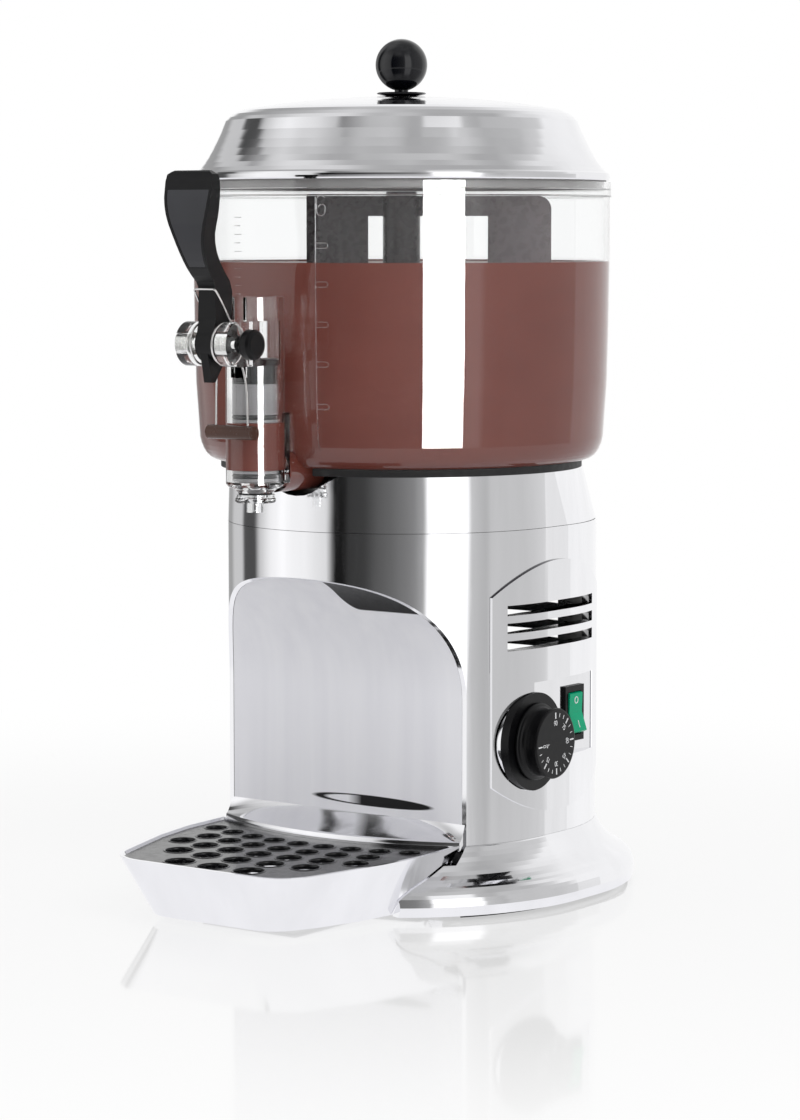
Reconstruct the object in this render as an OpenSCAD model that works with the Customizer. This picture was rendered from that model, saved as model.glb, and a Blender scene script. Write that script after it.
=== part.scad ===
// Countertop hot chocolate dispenser: polished body on a flared foot, a niche for the cup over a drip
// tray, a clear bowl with a piston tap and a hand lever, a stirrer and a domed lid.
// Millimetres. +Z up, the tap and the niche face -Y, the controls are on the +X side.
// The origin is on the table, on the bowl's axis.

/* [Body] */
// Radius of the body's round front and round back
body_r = 105; // [100:1:110]
// Distance between the centres of the round front and the round back
body_l = 24; // [16:1:32]
// Thickness of the body's wall
body_wall = 2.5; // [2:0.1:3]
// Height of the body between the foot and the collar
body_h = 183; // [178:1:190]
// Height of the collar on top of the body
collar_h = 33; // [32:0.5:35]
// Thickness of the collar's sheet
collar_wall = 1.2; // [1:0.1:1.4]
// How much shorter the collar is at its top than the body is
collar_lean = 14; // [6:1:16]

/* [Foot] */
// Height of the seam between the foot and the body
foot_h = 39.3; // [38.5:0.1:42]
// How far the foot's rim stands out from the body
foot_out = 25; // [22:1:28]
// Thickness of the foot's shell
foot_wall = 3; // [2:0.1:3.5]
// Height of the foot's lower edge above the table
foot_edge = 3; // [2.8:0.1:3.6]
// Height of the bottom plate above the table
plate_z = 2.4; // [2:0.1:2.6]
// Thickness of the bottom plate
plate_t = 1.5; // [1:0.1:1.8]
// Width of the rubber ring that the foot stands on
pad_w = 14; // [12:1:16]

/* [Niche] */
// Distance from the bowl's axis to the niche's wall
niche_y = 57; // [54:1:60]
// Radius of the niche's curved top
niche_r = 75; // [70:1:76]
// Height of the centre of the curved top
niche_z = 125; // [120:1:128]
// Thickness of the niche's wall
niche_t = 2; // [1.5:0.1:2.5]
// Height of the niche wall's foot, where the sloping ledge begins
ledge_top = 51.5; // [49:0.5:53]
// Height of the ledge's front edge
ledge_low = 42; // [41.5:0.5:44]
// Radius of the ledge's curved front edge
ledge_r = 190; // [180:5:220]
// Distance from the bowl's axis to the middle of the ledge's front edge
ledge_front = 83.5; // [80:0.5:88]

/* [Drip tray] */
// Height of the tray's rim at its rear
tray_h = 40.4; // [40:0.1:41]
// How much lower the rim is in front
tray_fall = 2.6; // [1.5:0.1:3]
// Height of the tray's underside
tray_z = 4.2; // [4:0.1:5]
// Half width of the tray at its widest
tray_half_w = 88; // [86:1:90]
// Distance from the bowl's axis to the middle of the tray's front edge
tray_front = 198.5; // [196:0.5:206]
// Thickness of the tray's wall
tray_wall = 2.2; // [1.8:0.1:2.6]
// Thickness of the black grid
grid_t = 2.5; // [2:0.1:3]
// How far the grid's top lies under the tray's rim
grid_drop = 1.5; // [1.2:0.1:2.5]
// Radius of the largest holes in the grid, those nearest the front
grid_hole_r = 8.7; // [7.5:0.1:9]
// Angle between the rays that the holes lie on
grid_step = 5; // [4.8:0.1:5.2]

/* [Bowl] */
// Outer radius of the bowl
bowl_r = 125; // [124:0.5:128]
// Thickness of the bowl's wall
bowl_wall = 3; // [2.5:0.1:3.2]
// Height of the bowl
bowl_h = 165.2; // [160:0.1:168]
// Height of the rim band at the bowl's top
rim_h = 9; // [8:0.5:10]
// Thickness of the seal under the bowl
gasket_t = 4.2; // [3:0.1:4.5]
// Radius of the bowl's flat bottom
bowl_foot_r = 110; // [109:0.5:112]
// Outer radius of the outlet channel under the bowl
channel_r = 13; // [12:0.5:13.5]
// Wall of the outlet channel
channel_wall = 3; // [2.5:0.1:3.5]
// Outer radius of the tube that the drive shaft passes up
chimney_r = 8.2; // [7.6:0.1:8.4]
// Top of the chimney above the table
chimney_top = 384; // [380:1:388]

/* [Tap] */
// How far the tap's axis stands out from the bowl's wall
tap_out = 17.1; // [17.1:0.1:18.5]
// Outer radius of the tap's barrel
barrel_r = 16.8; // [16.4:0.1:17.2]
// Radius of the barrel's bore
bore_r = 13.3; // [13:0.1:13.6]
// Height of the barrel's shoulder above the table
barrel_z = 251; // [250:0.5:252]
// Height of the barrel's top above the table
barrel_top = 358.9; // [357:0.1:360]
// Length of the nozzle under the barrel's shoulder
nozzle_l = 15; // [14:0.5:16]
// Distance from the tap's axis to the lever's pin
pin_out = 36.5; // [36:0.1:37.4]
// Height of the lever's pin above the table
pin_z = 333.1; // [332:0.1:334]
// Radius of the lever's pin
pin_r = 4; // [3.5:0.1:4.2]
// Radius of the round ears that carry the pin
ear_r = 12.6; // [12:0.1:13]
// Half of the gap between the two ears
ear_gap = 10; // [9.8:0.1:10.5]
// Thickness of an ear
ear_t = 8.3; // [7.5:0.1:9]
// Height of the lever's blade above its pin
lever_h = 96.9; // [90:0.1:100]
// Radius of the lever's hub
hub_r = 10.3; // [9.5:0.1:10.5]
// Half of the width of the lever's hub
hub_half_w = 5.8; // [5.4:0.1:5.8]
// Lift of the piston when the lever is pulled
piston_lift = 20.9; // [18:0.1:21]
// Diameter of the spring's wire
wire_d = 1.2; // [1:0.1:1.3]
// Radius of the brown sleeve at the spring's foot
sleeve_r = 4; // [3.6:0.1:4.2]
// Height of the brown sleeve's axis above the table
sleeve_z = 282.7; // [280:0.1:286]

/* [Stirrer and drive] */
// Radius of the drive shaft
shaft_r = 5; // [4.5:0.1:5.2]
// Outer radius of the stirrer's column
column_r = 11.2; // [10.8:0.1:11.6]
// Height of the stirrer's top above the table
stirrer_top = 417; // [414:0.5:419]
// Reach of the outer blade from the axis
blade_out = 90; // [84:1:94]
// Width of a blade
blade_w = 38; // [32:1:40]
// Thickness of a blade
blade_t = 5; // [3:0.5:6]
// Angle of the blades' plane round the axis
blade_angle = 36; // [0:1:180]
// Outer radius of the water tank under the bowl
tank_r = 84; // [80:1:85]
// Depth of the water tank
tank_h = 54; // [48:1:56]
// Thickness of the tank's sheet
tank_wall = 1.2; // [1:0.1:1.5]
// Radius of the motor
motor_r = 32; // [28:1:34]
// Height of the motor
motor_h = 60; // [50:1:64]
// Height of the gearbox
gearbox_h = 38; // [30:1:40]

/* [Lid] */
// Height of the lid from its rim to its top
lid_h = 50; // [46:0.5:54]
// Thickness of the lid's sheet
lid_wall = 1.2; // [1:0.1:1.5]
// Radius of the ball knob
ball_r = 15.5; // [14:0.1:16.5]
// Radius of the black dish under the knob
dish_r = 14.8; // [13:0.1:16]
// Height of the ball's centre above the lid's top
ball_up = 19; // [18:0.1:20]

/* [Controls] */
// Distance from the bowl's axis to the panel's middle, along the machine's depth
panel_y = 12; // [8:1:16]
// Half of the panel's width
panel_half_w = 56; // [55:1:58]
// Height of the lowest point of the panel
panel_z0 = 53.6; // [52:0.1:56]
// Height of the highest point of the panel
panel_z1 = 203; // [202:0.5:206]
// Thickness of the panel's plate
panel_t = 1.6; // [1.2:0.1:2]
// Depth of the recess that holds the controls
recess_d = 3.5; // [3.2:0.1:3.8]
// Place of the dial along the machine's depth
dial_y = -12.9; // [-13:0.1:-11]
// Height of the dial's axis
dial_z = 97.2; // [96:0.1:100]
// Radius of the dial's base ring
bezel_r = 28.9; // [27:0.1:29]
// Radius of the dial's knob at its base
dial_r = 22.8; // [22:0.1:23.5]
// Place of the switch along the machine's depth
switch_y = 34.4; // [34:0.1:36]
// Height of the switch's middle
switch_z = 108.3; // [106:0.1:110]
// Width of the switch's frame
switch_w = 20; // [18:0.5:21]
// Height of the switch's frame
switch_h = 33.5; // [32:0.5:35]
// Height of one louvre slot
louvre_h = 6; // [5:0.5:6.5]
// Distance between the louvre slots
louvre_pitch = 10.4; // [9.5:0.1:11]

/* [Hidden] */

// Clearances: gap between pieces that stand side by side, running fit of a round shaft in its bore,
// and overshoot of a cut past the face that it goes through.
gap = 0.3;
run = 0.05;
over = 1;
$fn = 96;

seam_z = foot_h;
body_top = seam_z + body_h;
deck_t = 2.5;
deck_z = body_top - deck_t;
deck_top = body_top;
collar_top = body_top + collar_h;
bowl_z = collar_top + gasket_t + gap;
bowl_top = bowl_z + bowl_h;
rim_z = bowl_top + 0.9;
lid_top = rim_z + lid_h;
floor_z = bowl_z + bowl_wall;
tap_y = bowl_r + tap_out;
pin_y = tap_y + pin_out;
nozzle_z = barrel_z - nozzle_l;
plate_top = plate_z + plate_t;
inner_r = body_r - body_wall;

// ---------- helpers ----------

// Unit vector from a to b in a plane.
function dir(a, b) = (b - a) / norm(b - a);

// The point at distance t from point i of the line pts, on the line's right-hand side.
function side_point(pts, i, t) =
  let (d = dir(pts[max(i - 1, 0)], pts[min(i + 1, len(pts) - 1)]))
  pts[i] + t * [d[1], -d[0]];

// Points of a soft curve from p0 to p3, pulled towards p1 and p2, in n steps.
function soft(p0, p1, p2, p3, n) = [for (i = [0:n]) let (t = i / n, u = 1 - t)
  u * u * u * p0 + 3 * u * u * t * p1 + 3 * u * t * t * p2 + t * t * t * p3];

// A ring with the plan of the body: round front, straight sides of length l, round back.
module body_ring(profile, l = body_l) {
  rotate([0, 0, 180]) rotate_extrude(angle = 180) polygon(profile);
  translate([0, l, 0]) rotate_extrude(angle = 180) polygon(profile);
  translate([0, l, 0]) rotate([90, 0, 0]) linear_extrude(l) {
    polygon(profile);
    mirror([1, 0]) polygon(profile);
  }
}

// A solid with the plan of the body, of radius r, from z0 to z1.
module body_solid(r, z0, z1) {
  translate([0, 0, z0]) {
    cylinder(r = r, h = z1 - z0);
    translate([0, body_l, 0]) cylinder(r = r, h = z1 - z0);
    translate([-r, 0, 0]) cube([2 * r, body_l, z1 - z0]);
  }
}

module body_shell(r, t, z0, z1) {
  body_ring([[r - t, z0], [r, z0], [r, z1], [r - t, z1]]);
}

// A ring round the bowl's axis.
module ring(r1, r0, z0, z1) {
  translate([0, 0, z0]) difference() {
    cylinder(r = r1, h = z1 - z0);
    translate([0, 0, -over]) cylinder(r = r0, h = z1 - z0 + 2 * over);
  }
}

// A rod along X from x0 to x1 through the point y, z.
module rod_x(r, x0, x1, y, z) {
  translate([x0, y, z]) rotate([0, 90, 0]) cylinder(r = r, h = x1 - x0);
}

// A rod along Y from y0 to y1 through the point x, z.
module rod_y(r, y0, y1, x, z) {
  translate([x, y0, z]) rotate([-90, 0, 0]) cylinder(r = r, h = y1 - y0);
}

// A box given by its two corners.
module block(a, b) {
  translate(a) cube(b - a);
}

// A screw along +Z with its head's top at the origin, under a round head.
module screw(r, l, head_r, head_h) {
  translate([0, 0, -head_h]) cylinder(r = head_r, h = head_h);
  translate([0, 0, -l]) cylinder(r = r, h = l - head_h + 0.01);
}

// ---------- niche ----------

niche_arc_y = -niche_y - niche_r;
niche_side_x = sqrt(body_r * body_r - niche_y * niche_y);

// The space in front of the niche's wall, seen from the side.
module niche_space_2d(grow) {
  union() {
    translate([niche_arc_y, niche_z]) circle(r = niche_r + grow);
    translate([niche_arc_y - niche_r - 50, 0]) square([niche_r * 2 + 50 + grow, niche_z]);
  }
}

module niche_space(grow, half_w) {
  translate([-half_w, 0, 0]) rotate([90, 0, 90]) linear_extrude(2 * half_w) niche_space_2d(grow);
}

// ---------- body ----------

panel_arc_r = 92;
rear_half_w = 62;
rear_z0 = 62;
rear_z1 = 200;
gland_z = 76;
gland_r = 8;

// Outline of the panel, seen from +X, grown by g. First coordinate along Y, second along Z.
module panel_outline(g) {
  intersection() {
    translate([panel_y - panel_half_w - g, panel_z0 - g])
      square([2 * (panel_half_w + g), panel_z1 - panel_z0 + 2 * g]);
    translate([panel_y, panel_z1 - panel_arc_r]) circle(r = panel_arc_r + g);
    translate([panel_y, panel_z0 + panel_arc_r]) circle(r = panel_arc_r + g);
  }
}

module panel_prism(g, x0, x1) {
  translate([x0, 0, 0]) rotate([90, 0, 90]) linear_extrude(x1 - x0) panel_outline(g);
}

module housing() color("gainsboro") {
  difference() {
    body_shell(body_r, body_wall, seam_z, body_top);
    niche_space(0, body_r);
    block([-niche_side_x, -body_r - over, seam_z - over], [niche_side_x, -niche_y, niche_z]);
    panel_prism(-5, body_r / 2, body_r + over);
    recess_prism(recess_wall + gap, body_r / 2, body_r + over);
    block([-rear_half_w, body_r - 20, rear_z0 + 6], [rear_half_w, body_r + body_l + over, rear_z1 - 6]);
    for (a = rear_screw_angles, z = rear_screw_zs) rear_screw_place(a, z)
      cylinder(r = 1.7, h = 20, center = true);
  }
}

foot_top_out = 0.6;
foot_knee_z = 20.5;
foot_profile = concat(
  [[body_r - 9, foot_h - foot_wall], [body_r - 9, foot_h - 0.1], [body_r, foot_h - 0.1]],
  soft([body_r + foot_top_out, foot_h - 0.8], [body_r + 4, foot_h - 9], [body_r + 10, foot_knee_z + 2.5],
    [body_r + foot_out - 7, foot_knee_z - 1], 9),
  soft([body_r + foot_out - 5.5, foot_knee_z - 2], [body_r + foot_out - 1.5, foot_knee_z - 5],
    [body_r + foot_out + 0.6, foot_edge + 7], [body_r + foot_out - 1.6, foot_edge], 7));

module foot_skirt() color("gainsboro") {
  inside = [for (i = [3:len(foot_profile) - 1]) side_point(foot_profile, i, foot_wall)];
  shell = concat(foot_profile, [for (i = [len(inside) - 1:-1:1]) inside[i]]);
  difference() {
    body_ring(shell);
    tray_space();
  }
}

collar_seam = 0.25;
collar_z = body_top + collar_seam;
collar_draft = 1;
lip_r = body_r - 9;

// The back of the collar leans forward to the round bowl.
module collar_back(inset, z0, z1) {
  hull() {
    for (y = [0, body_l - 1]) translate([0, y, z0]) cylinder(r = body_r - inset, h = 0.1);
    for (y = [0, body_l - collar_lean]) translate([0, y, z1 - 0.1])
      cylinder(r = body_r - collar_draft - inset, h = 0.1);
  }
}

// The round front of the collar, with the lip that the bowl's seal lies on.
module collar_front() {
  rotate([0, 0, 180]) rotate_extrude(angle = 180) polygon([
    [body_r - collar_wall, collar_z], [body_r, collar_z], [body_r - collar_draft, collar_top],
    [lip_r, collar_top], [lip_r, collar_top - collar_wall],
    [body_r - collar_draft - collar_wall, collar_top - collar_wall]]);
}

notch_z = collar_top - 12.4;
module collar() color("gainsboro") {
  difference() {
    union() {
      collar_front();
      difference() {
        collar_back(0, collar_z, collar_top);
        difference() {
          collar_back(collar_wall, collar_z - over, collar_top + over);
          block([-2 * body_r, -2 * body_r, collar_top - collar_wall],
            [2 * body_r, 2 * body_r, collar_top + 2 * over]);
        }
        block([-2 * body_r, -2 * body_r, collar_z - over], [2 * body_r, 0, collar_top + over]);
      }
    }
    translate([0, 0, collar_top - 10]) cylinder(r = lip_r, h = 20);
    channel_notch(body_r + over);
  }
}

// The dip in the collar's front that the outlet channel passes over.
module channel_notch(reach) {
  translate([0, -channel_r, 0]) rotate([90, 0, 0]) linear_extrude(reach)
    polygon(concat([[30, collar_top + over]], [[26, collar_top - 1]],
      soft([24, collar_top - 2.5], [14, collar_top - 6], [14, notch_z], [0, notch_z], 6),
      soft([0, notch_z], [-14, notch_z], [-14, collar_top - 6], [-24, collar_top - 2.5], 6),
      [[-26, collar_top - 1], [-30, collar_top + over]]));
}

module niche_liner() color("whitesmoke") {
  liner_r = inner_r - gap;
  intersection() {
    difference() {
      niche_space(niche_t, body_r);
      niche_space(0, body_r + over);
      block([-body_r - over, -3 * body_r, -over], [body_r + over, body_r, ledge_top - 12]);
    }
    translate([0, 0, ledge_top - 12]) cylinder(r = liner_r, h = body_top - ledge_top + 12 - gap);
  }
}

// The front edge of the ledge and the rear edge of the tray are arcs round the same centre.
ledge_centre_y = ledge_r - ledge_front;
ledge_half_w = niche_side_x - 1.2;
ledge_foot_half_w = ledge_half_w - 9;
ledge_t = 2;
ledge_step_z = ledge_low - 5;

// Plan of the ledge inset by t, with the half width half_w, from z0 to z1.
module ledge_plan(t, half_w, z0, z1) {
  intersection() {
    translate([0, ledge_centre_y, z0]) cylinder(r = ledge_r - t, h = z1 - z0, $fn = 360);
    block([t - half_w, -body_r, z0], [half_w - t, -niche_y, z1]);
  }
}

// The ledge's outside, or its inside where t is the thickness of its sheet.
module ledge_form(t, base_z) {
  hull() {
    ledge_plan(t, ledge_half_w, ledge_step_z - t, ledge_low - t);
    block([t - ledge_half_w, -niche_y - 0.1, ledge_step_z - t],
      [ledge_half_w - t, -niche_y, ledge_top - 2 * t]);
  }
  ledge_plan(t, ledge_foot_half_w, base_z, ledge_low - 2 * t);
}

module splash_ledge() color("gainsboro") {
  difference() {
    ledge_form(0, plate_top + gap);
    ledge_form(ledge_t, plate_top + gap - over);
    block([ledge_t - ledge_foot_half_w, -niche_y - over, 0],
      [ledge_foot_half_w - ledge_t, -niche_y + over, ledge_low - ledge_t]);
  }
}

// ---------- bottom ----------

tongue_half_w = 34;
tongue_reach = 150;
half_plate = 76;

// The rubber ring lies just inside the plate's edge, and its screws sit in the middle of its width.
plate_r = body_r + foot_out - foot_wall - 3;
ring_r = plate_r - 6 - pad_w / 2;
ring_screw_places = [for (s = [-1, 1], back = [0, 1]) let (a = back == 1 ? 50 : -18)
  [s * ring_r * cos(a), back * body_l + ring_r * sin(a)]];

module bottom_plate() color("dimgray") {
  difference() {
    union() {
      difference() {
        body_solid(plate_r, plate_z, plate_top);
        block([-tray_half_w - 6, -3 * body_r, 0], [tray_half_w + 6, -niche_y + 2, 10]);
      }
      intersection() {
        translate([0, ledge_centre_y, plate_z]) cylinder(r = ledge_r, h = plate_t, $fn = 360);
        block([-half_plate, -body_r, plate_z], [half_plate, 0, plate_top]);
      }
      block([-tongue_half_w, -tongue_reach, plate_z], [tongue_half_w, -niche_y, plate_top]);
    }
    for (p = ring_screw_places) translate([p[0], p[1], 0]) cylinder(r = 2.2, h = 10);
  }
}
module rubber_ring() color("black") {
  difference() {
    body_shell(ring_r + pad_w / 2, pad_w, 0, plate_z);
    block([-tray_half_w - 6, -2 * body_r, -over], [tray_half_w + 6, -niche_y + 2, 10]);
    for (p = ring_screw_places) translate([p[0], p[1], -over]) {
      cylinder(r = 5, h = 1 + over);
      cylinder(r = 2.2, h = 10);
    }
  }
}

module ring_screws() color("silver") {
  for (p = ring_screw_places) translate([p[0], p[1], 0.15]) rotate([180, 0, 0]) screw(2, 9, 4.6, 0.85);
}

// ---------- heating and drive ----------

tank_z = deck_top - 28;
tank_top = tank_z + tank_h;
tube_r = 10;
bush_z = tank_top - 9;

module top_deck() color("silver") {
  difference() {
    body_solid(inner_r - gap, deck_z, deck_top);
    translate([0, 0, deck_z - over]) cylinder(r = tank_r + gap, h = deck_t + 2 * over);
  }
}

module water_tank() color("silver") {
  difference() {
    union() {
      translate([0, 0, tank_z]) cylinder(r = tank_r, h = tank_h);
      translate([0, 0, deck_top]) cylinder(r = tank_r + 8, h = tank_wall);
    }
    ring(tank_r - tank_wall, tube_r, tank_z + tank_wall, tank_top + over);
    translate([0, 0, tank_z - over]) cylinder(r = tube_r - 2, h = tank_h + 2 * over);
  }
}

element_r = 52;
module heating_element() color("dimgray") {
  translate([0, 0, tank_z - 4.3]) rotate_extrude() translate([element_r, 0]) circle(r = 4);
  for (x = [-7, 7]) translate([x, -element_r, tank_z - 18]) cylinder(r = 3, h = 13);
}

module tank_tube_bush() color("goldenrod") {
  difference() {
    union() {
      translate([0, 0, bush_z]) cylinder(r = tube_r - 2 - run, h = 9);
      translate([0, 0, tank_top]) cylinder(r = tube_r - 0.5, h = 1.5);
    }
    translate([0, 0, bush_z - over]) cylinder(r = shaft_r + run, h = 20);
  }
}

module shaft_seal() color("black") {
  translate([0, 0, bowl_z - 3]) difference() {
    cylinder(r = chimney_r - 2.5 + 6, h = 2.7);
    translate([0, 0, -over]) cylinder(r = shaft_r + gap, h = 6);
  }
}

module bowl_gasket() color("black") {
  difference() {
    ring(bowl_foot_r - 1, bowl_foot_r - 17, collar_top, collar_top + gasket_t);
    block([-channel_r - 2, -2 * body_r, collar_top - over], [channel_r + 2, -body_r / 2, bowl_z + over]);
  }
}

gearbox_z1 = tank_z - 16;
gearbox_z0 = gearbox_z1 - gearbox_h;
gearbox_half = 37;
motor_z0 = gearbox_z0 - motor_h;
bracket_t = 3;
bracket_half = gearbox_half + 25;
bracket_y0 = -gearbox_half + 7;
bracket_y1 = gearbox_half + 29;
// Places of the four screws that hold the gearbox, across and along the machine.
gear_xs = [-gearbox_half + 9, gearbox_half - 9];
gear_ys = [bracket_y0 + 10, bracket_y1 - 18];

module gearbox() color("slategray") {
  difference() {
    block([-gearbox_half, -gearbox_half + 6, gearbox_z0], [gearbox_half, gearbox_half + 22, gearbox_z1]);
    translate([0, 0, gearbox_z0 + 8]) cylinder(r = shaft_r + run, h = gearbox_h);
    for (x = gear_xs, y = gear_ys) translate([x, y, gearbox_z1 - 10]) cylinder(r = 2, h = 20);
  }
}

module gear_motor() color("darkgray") {
  translate([0, 20, motor_z0]) cylinder(r = motor_r, h = motor_h);
  translate([0, 20, motor_z0 - 5]) cylinder(r = 8, h = 5);
}

// The plate that the gearbox hangs from, with two legs up to the top deck.
module motor_bracket() color("silver") {
  difference() {
    union() {
      block([-bracket_half, bracket_y0, gearbox_z1], [bracket_half, bracket_y1, gearbox_z1 + bracket_t]);
      for (s = [-1, 1]) {
        block([s > 0 ? tank_r + 2 : -tank_r - 2 - bracket_t, -12, gearbox_z1],
          [s > 0 ? tank_r + 2 + bracket_t : -tank_r - 2, 24, deck_z]);
        block([s > 0 ? bracket_half - 1 : -tank_r - 2 - bracket_t, -12, gearbox_z1],
          [s > 0 ? tank_r + 2 + bracket_t : -bracket_half + 1, 24, gearbox_z1 + bracket_t]);
      }
    }
    translate([0, 0, gearbox_z1 - over]) cylinder(r = shaft_r + 3, h = 10);
    for (x = gear_xs, y = gear_ys) translate([x, y, gearbox_z1 - over]) cylinder(r = 2.2, h = 10);
  }
}

module bracket_screws() color("silver") {
  for (x = gear_xs, y = gear_ys) translate([x, y, gearbox_z1 + bracket_t + 2.4]) screw(1.95, 14, 3.5, 2.4);
}

tip_half = 3.3;
tip_h = 12;
module drive_shaft() color("silver") {
  translate([0, 0, gearbox_z0 + 9]) cylinder(r = shaft_r, h = chimney_top - 4 - gearbox_z0 - 9);
  rotate([0, 0, blade_angle])
    block([-tip_half, -tip_half, chimney_top - 5], [tip_half, tip_half, chimney_top + tip_h]);
}

// ---------- back ----------

rear_screw_angles = [57, 123];
rear_screw_zs = [rear_z0 + 5, rear_z1 - 5];
rear_t = 1.5;
rear_gap = 0.1;

module rear_screw_place(a, z) {
  translate([0, body_l, z]) rotate([0, 0, a]) translate([body_r + rear_gap + rear_t, 0, 0])
    rotate([0, 90, 0]) children();
}

module rear_cover() color("silver") {
  difference() {
    intersection() {
      translate([0, body_l, rear_z0]) difference() {
        cylinder(r = body_r + rear_gap + rear_t, h = rear_z1 - rear_z0);
        translate([0, 0, -over]) cylinder(r = body_r + rear_gap, h = rear_z1 - rear_z0 + 2 * over);
      }
      block([-rear_half_w - 4, body_l, rear_z0], [rear_half_w + 4, 2 * body_r, rear_z1]);
    }
    for (i = [0:5]) block([-32, body_l, 118 + 11 * i], [32, 2 * body_r, 122 + 11 * i]);
    for (a = rear_screw_angles, z = rear_screw_zs) rear_screw_place(a, z)
      cylinder(r = 1.7, h = 12, center = true);
    rod_y(gland_r + run, body_l, 2 * body_r, 0, gland_z);
  }
}

module rear_cover_screws() color("dimgray") {
  for (a = rear_screw_angles, z = rear_screw_zs) rear_screw_place(a, z)
    translate([0, 0, 1.8]) screw(1.6, 9, 3.2, 1.6);
}

gland_y = body_l + body_r;
module cable_gland() color("black") {
  difference() {
    union() {
      rod_y(gland_r, gland_y - 9, gland_y + 14, 0, gland_z);
      rod_y(gland_r + 3, gland_y + rear_gap + rear_t + 0.1, gland_y + 7, 0, gland_z);
      rod_y(gland_r + 3, gland_y - 8, gland_y - 3, 0, gland_z);
    }
    rod_y(3.6, gland_y - 12, gland_y + 20, 0, gland_z);
  }
}

module terminal_block() color("ivory") {
  difference() {
    block([-66, 40, plate_top], [-30, 58, plate_top + 18]);
    for (i = [0:4]) translate([-62 + 7 * i, 49, plate_top + 8]) cylinder(r = 2.4, h = 20);
  }
}

// ---------- controls ----------

panel_gap = 0.1;
recess_x = body_r - recess_d;
recess_z0 = 85;
recess_z1 = 132;
recess_y1 = 56;
recess_r = bezel_r + 0.5;
recess_wall = 1;
louvre_y0 = -34;
louvre_y1 = 55;
louvre_z = 155;

module recess_outline(g) {
  translate([dial_y, dial_z]) circle(r = recess_r + g);
  translate([dial_y, recess_z0 - g]) square([recess_y1 - dial_y + g, recess_z1 - recess_z0 + 2 * g]);
}

module recess_prism(g, x0, x1) {
  translate([x0, 0, 0]) rotate([90, 0, 90]) linear_extrude(x1 - x0) recess_outline(g);
}

module panel_shell(t0, t1) {
  intersection() {
    body_shell(body_r + t1, t1 - t0, panel_z0 - 1, panel_z1 + 1);
    panel_prism(0, body_r / 2, 2 * body_r);
  }
}

module control_panel() color("gainsboro") {
  difference() {
    union() {
      difference() {
        panel_shell(panel_gap, panel_gap + panel_t);
        recess_prism(0, body_r / 2, 2 * body_r);
      }
      difference() {
        recess_prism(recess_wall, recess_x - recess_wall, body_r + panel_gap + panel_t / 2);
        recess_prism(0, recess_x, 2 * body_r);
        body_cut_outside(panel_gap + panel_t / 2);
      }
      for (i = [0:2]) louvre_blade(louvre_z + i * louvre_pitch);
      dial_boss();
    }
    for (i = [0:2]) block([body_r / 2, louvre_y0, louvre_z - louvre_h / 2 + i * louvre_pitch],
      [2 * body_r, louvre_y1, louvre_z + louvre_h / 2 + i * louvre_pitch]);
    rod_x(3.3, recess_x - 10, body_r, dial_y, dial_z);
    block([recess_x - 10, switch_y - 8.5, switch_z - 14.5], [body_r, switch_y + 8.5, switch_z + 14.5]);
  }
}

// The round boss of the panel that carries the dial's base ring where the body curves away from it.
module dial_boss() {
  difference() {
    rod_x(bezel_r - 0.5, recess_x - 9, recess_x, dial_y, dial_z);
    rod_x(bezel_r - 3.5, recess_x - 10, recess_x - recess_wall, dial_y, dial_z);
  }
}

// Everything outside the body's plan grown by g.
module body_cut_outside(g) {
  difference() {
    block([0, -2 * body_r, panel_z0], [2 * body_r, 2 * body_r, panel_z1]);
    body_solid(body_r + g, panel_z0 - 1, panel_z1 + 1);
  }
}

// A small ledge behind the panel under each slot, flush with the slot's lower edge.
module louvre_blade(z) {
  intersection() {
    block([body_r - 9, louvre_y0, z - louvre_h / 2 - 1.2], [2 * body_r, louvre_y1, z - louvre_h / 2]);
    body_shell(body_r + panel_gap + panel_t / 2, 9, panel_z0, panel_z1);
  }
}

module thermostat_body() color("ivory") {
  block([recess_x - 31, dial_y - 17, dial_z - 17], [recess_x - recess_wall, dial_y + 17, dial_z + 17]);
  rod_x(3, recess_x - 2, body_r + 14, dial_y, dial_z);
}

bulb_r = 3.5;
module sensing_bulb() color("peru") {
  rotate([0, 0, 130]) translate([tank_r + bulb_r + gap, 0, tank_z + 1])
    cylinder(r = bulb_r, h = deck_z - tank_z - 2);
}

module safety_thermostat() color("ivory") {
  translate([30, -20, tank_z - 9]) cylinder(r = 8, h = 8.7);
}

bezel_h = 5.5;
module dial_bezel() color("black") {
  difference() {
    rod_x(bezel_r, recess_x + 0.2, recess_x + 0.2 + bezel_h, dial_y, dial_z);
    rod_x(3.3, recess_x - over, body_r + 10, dial_y, dial_z);
  }
}

knob_x0 = recess_x + 0.2 + bezel_h + gap;
knob_x1 = body_r + 16.3;
module dial_knob() color("black") {
  difference() {
    translate([0, dial_y, dial_z]) rotate([0, 90, 0]) rotate_extrude() polygon(concat(
      [[0, knob_x0], [dial_r - 0.7, knob_x0], [dial_r, knob_x0 + 0.7], [dial_r - 0.1, knob_x0 + 1.5]],
      soft([dial_r - 0.7, knob_x0 + 2], [dial_r - 3.6, knob_x0 + 2.6], [dial_r - 4.2, knob_x0 + 6],
        [dial_r - 1.9, knob_x1 - 1], 7),
      [[dial_r - 2.3, knob_x1 - 0.2], [dial_r - 3, knob_x1], [0, knob_x1]]));
    rod_x(3 + run, knob_x0 - over, body_r + 14.2, dial_y, dial_z);
  }
}

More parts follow.
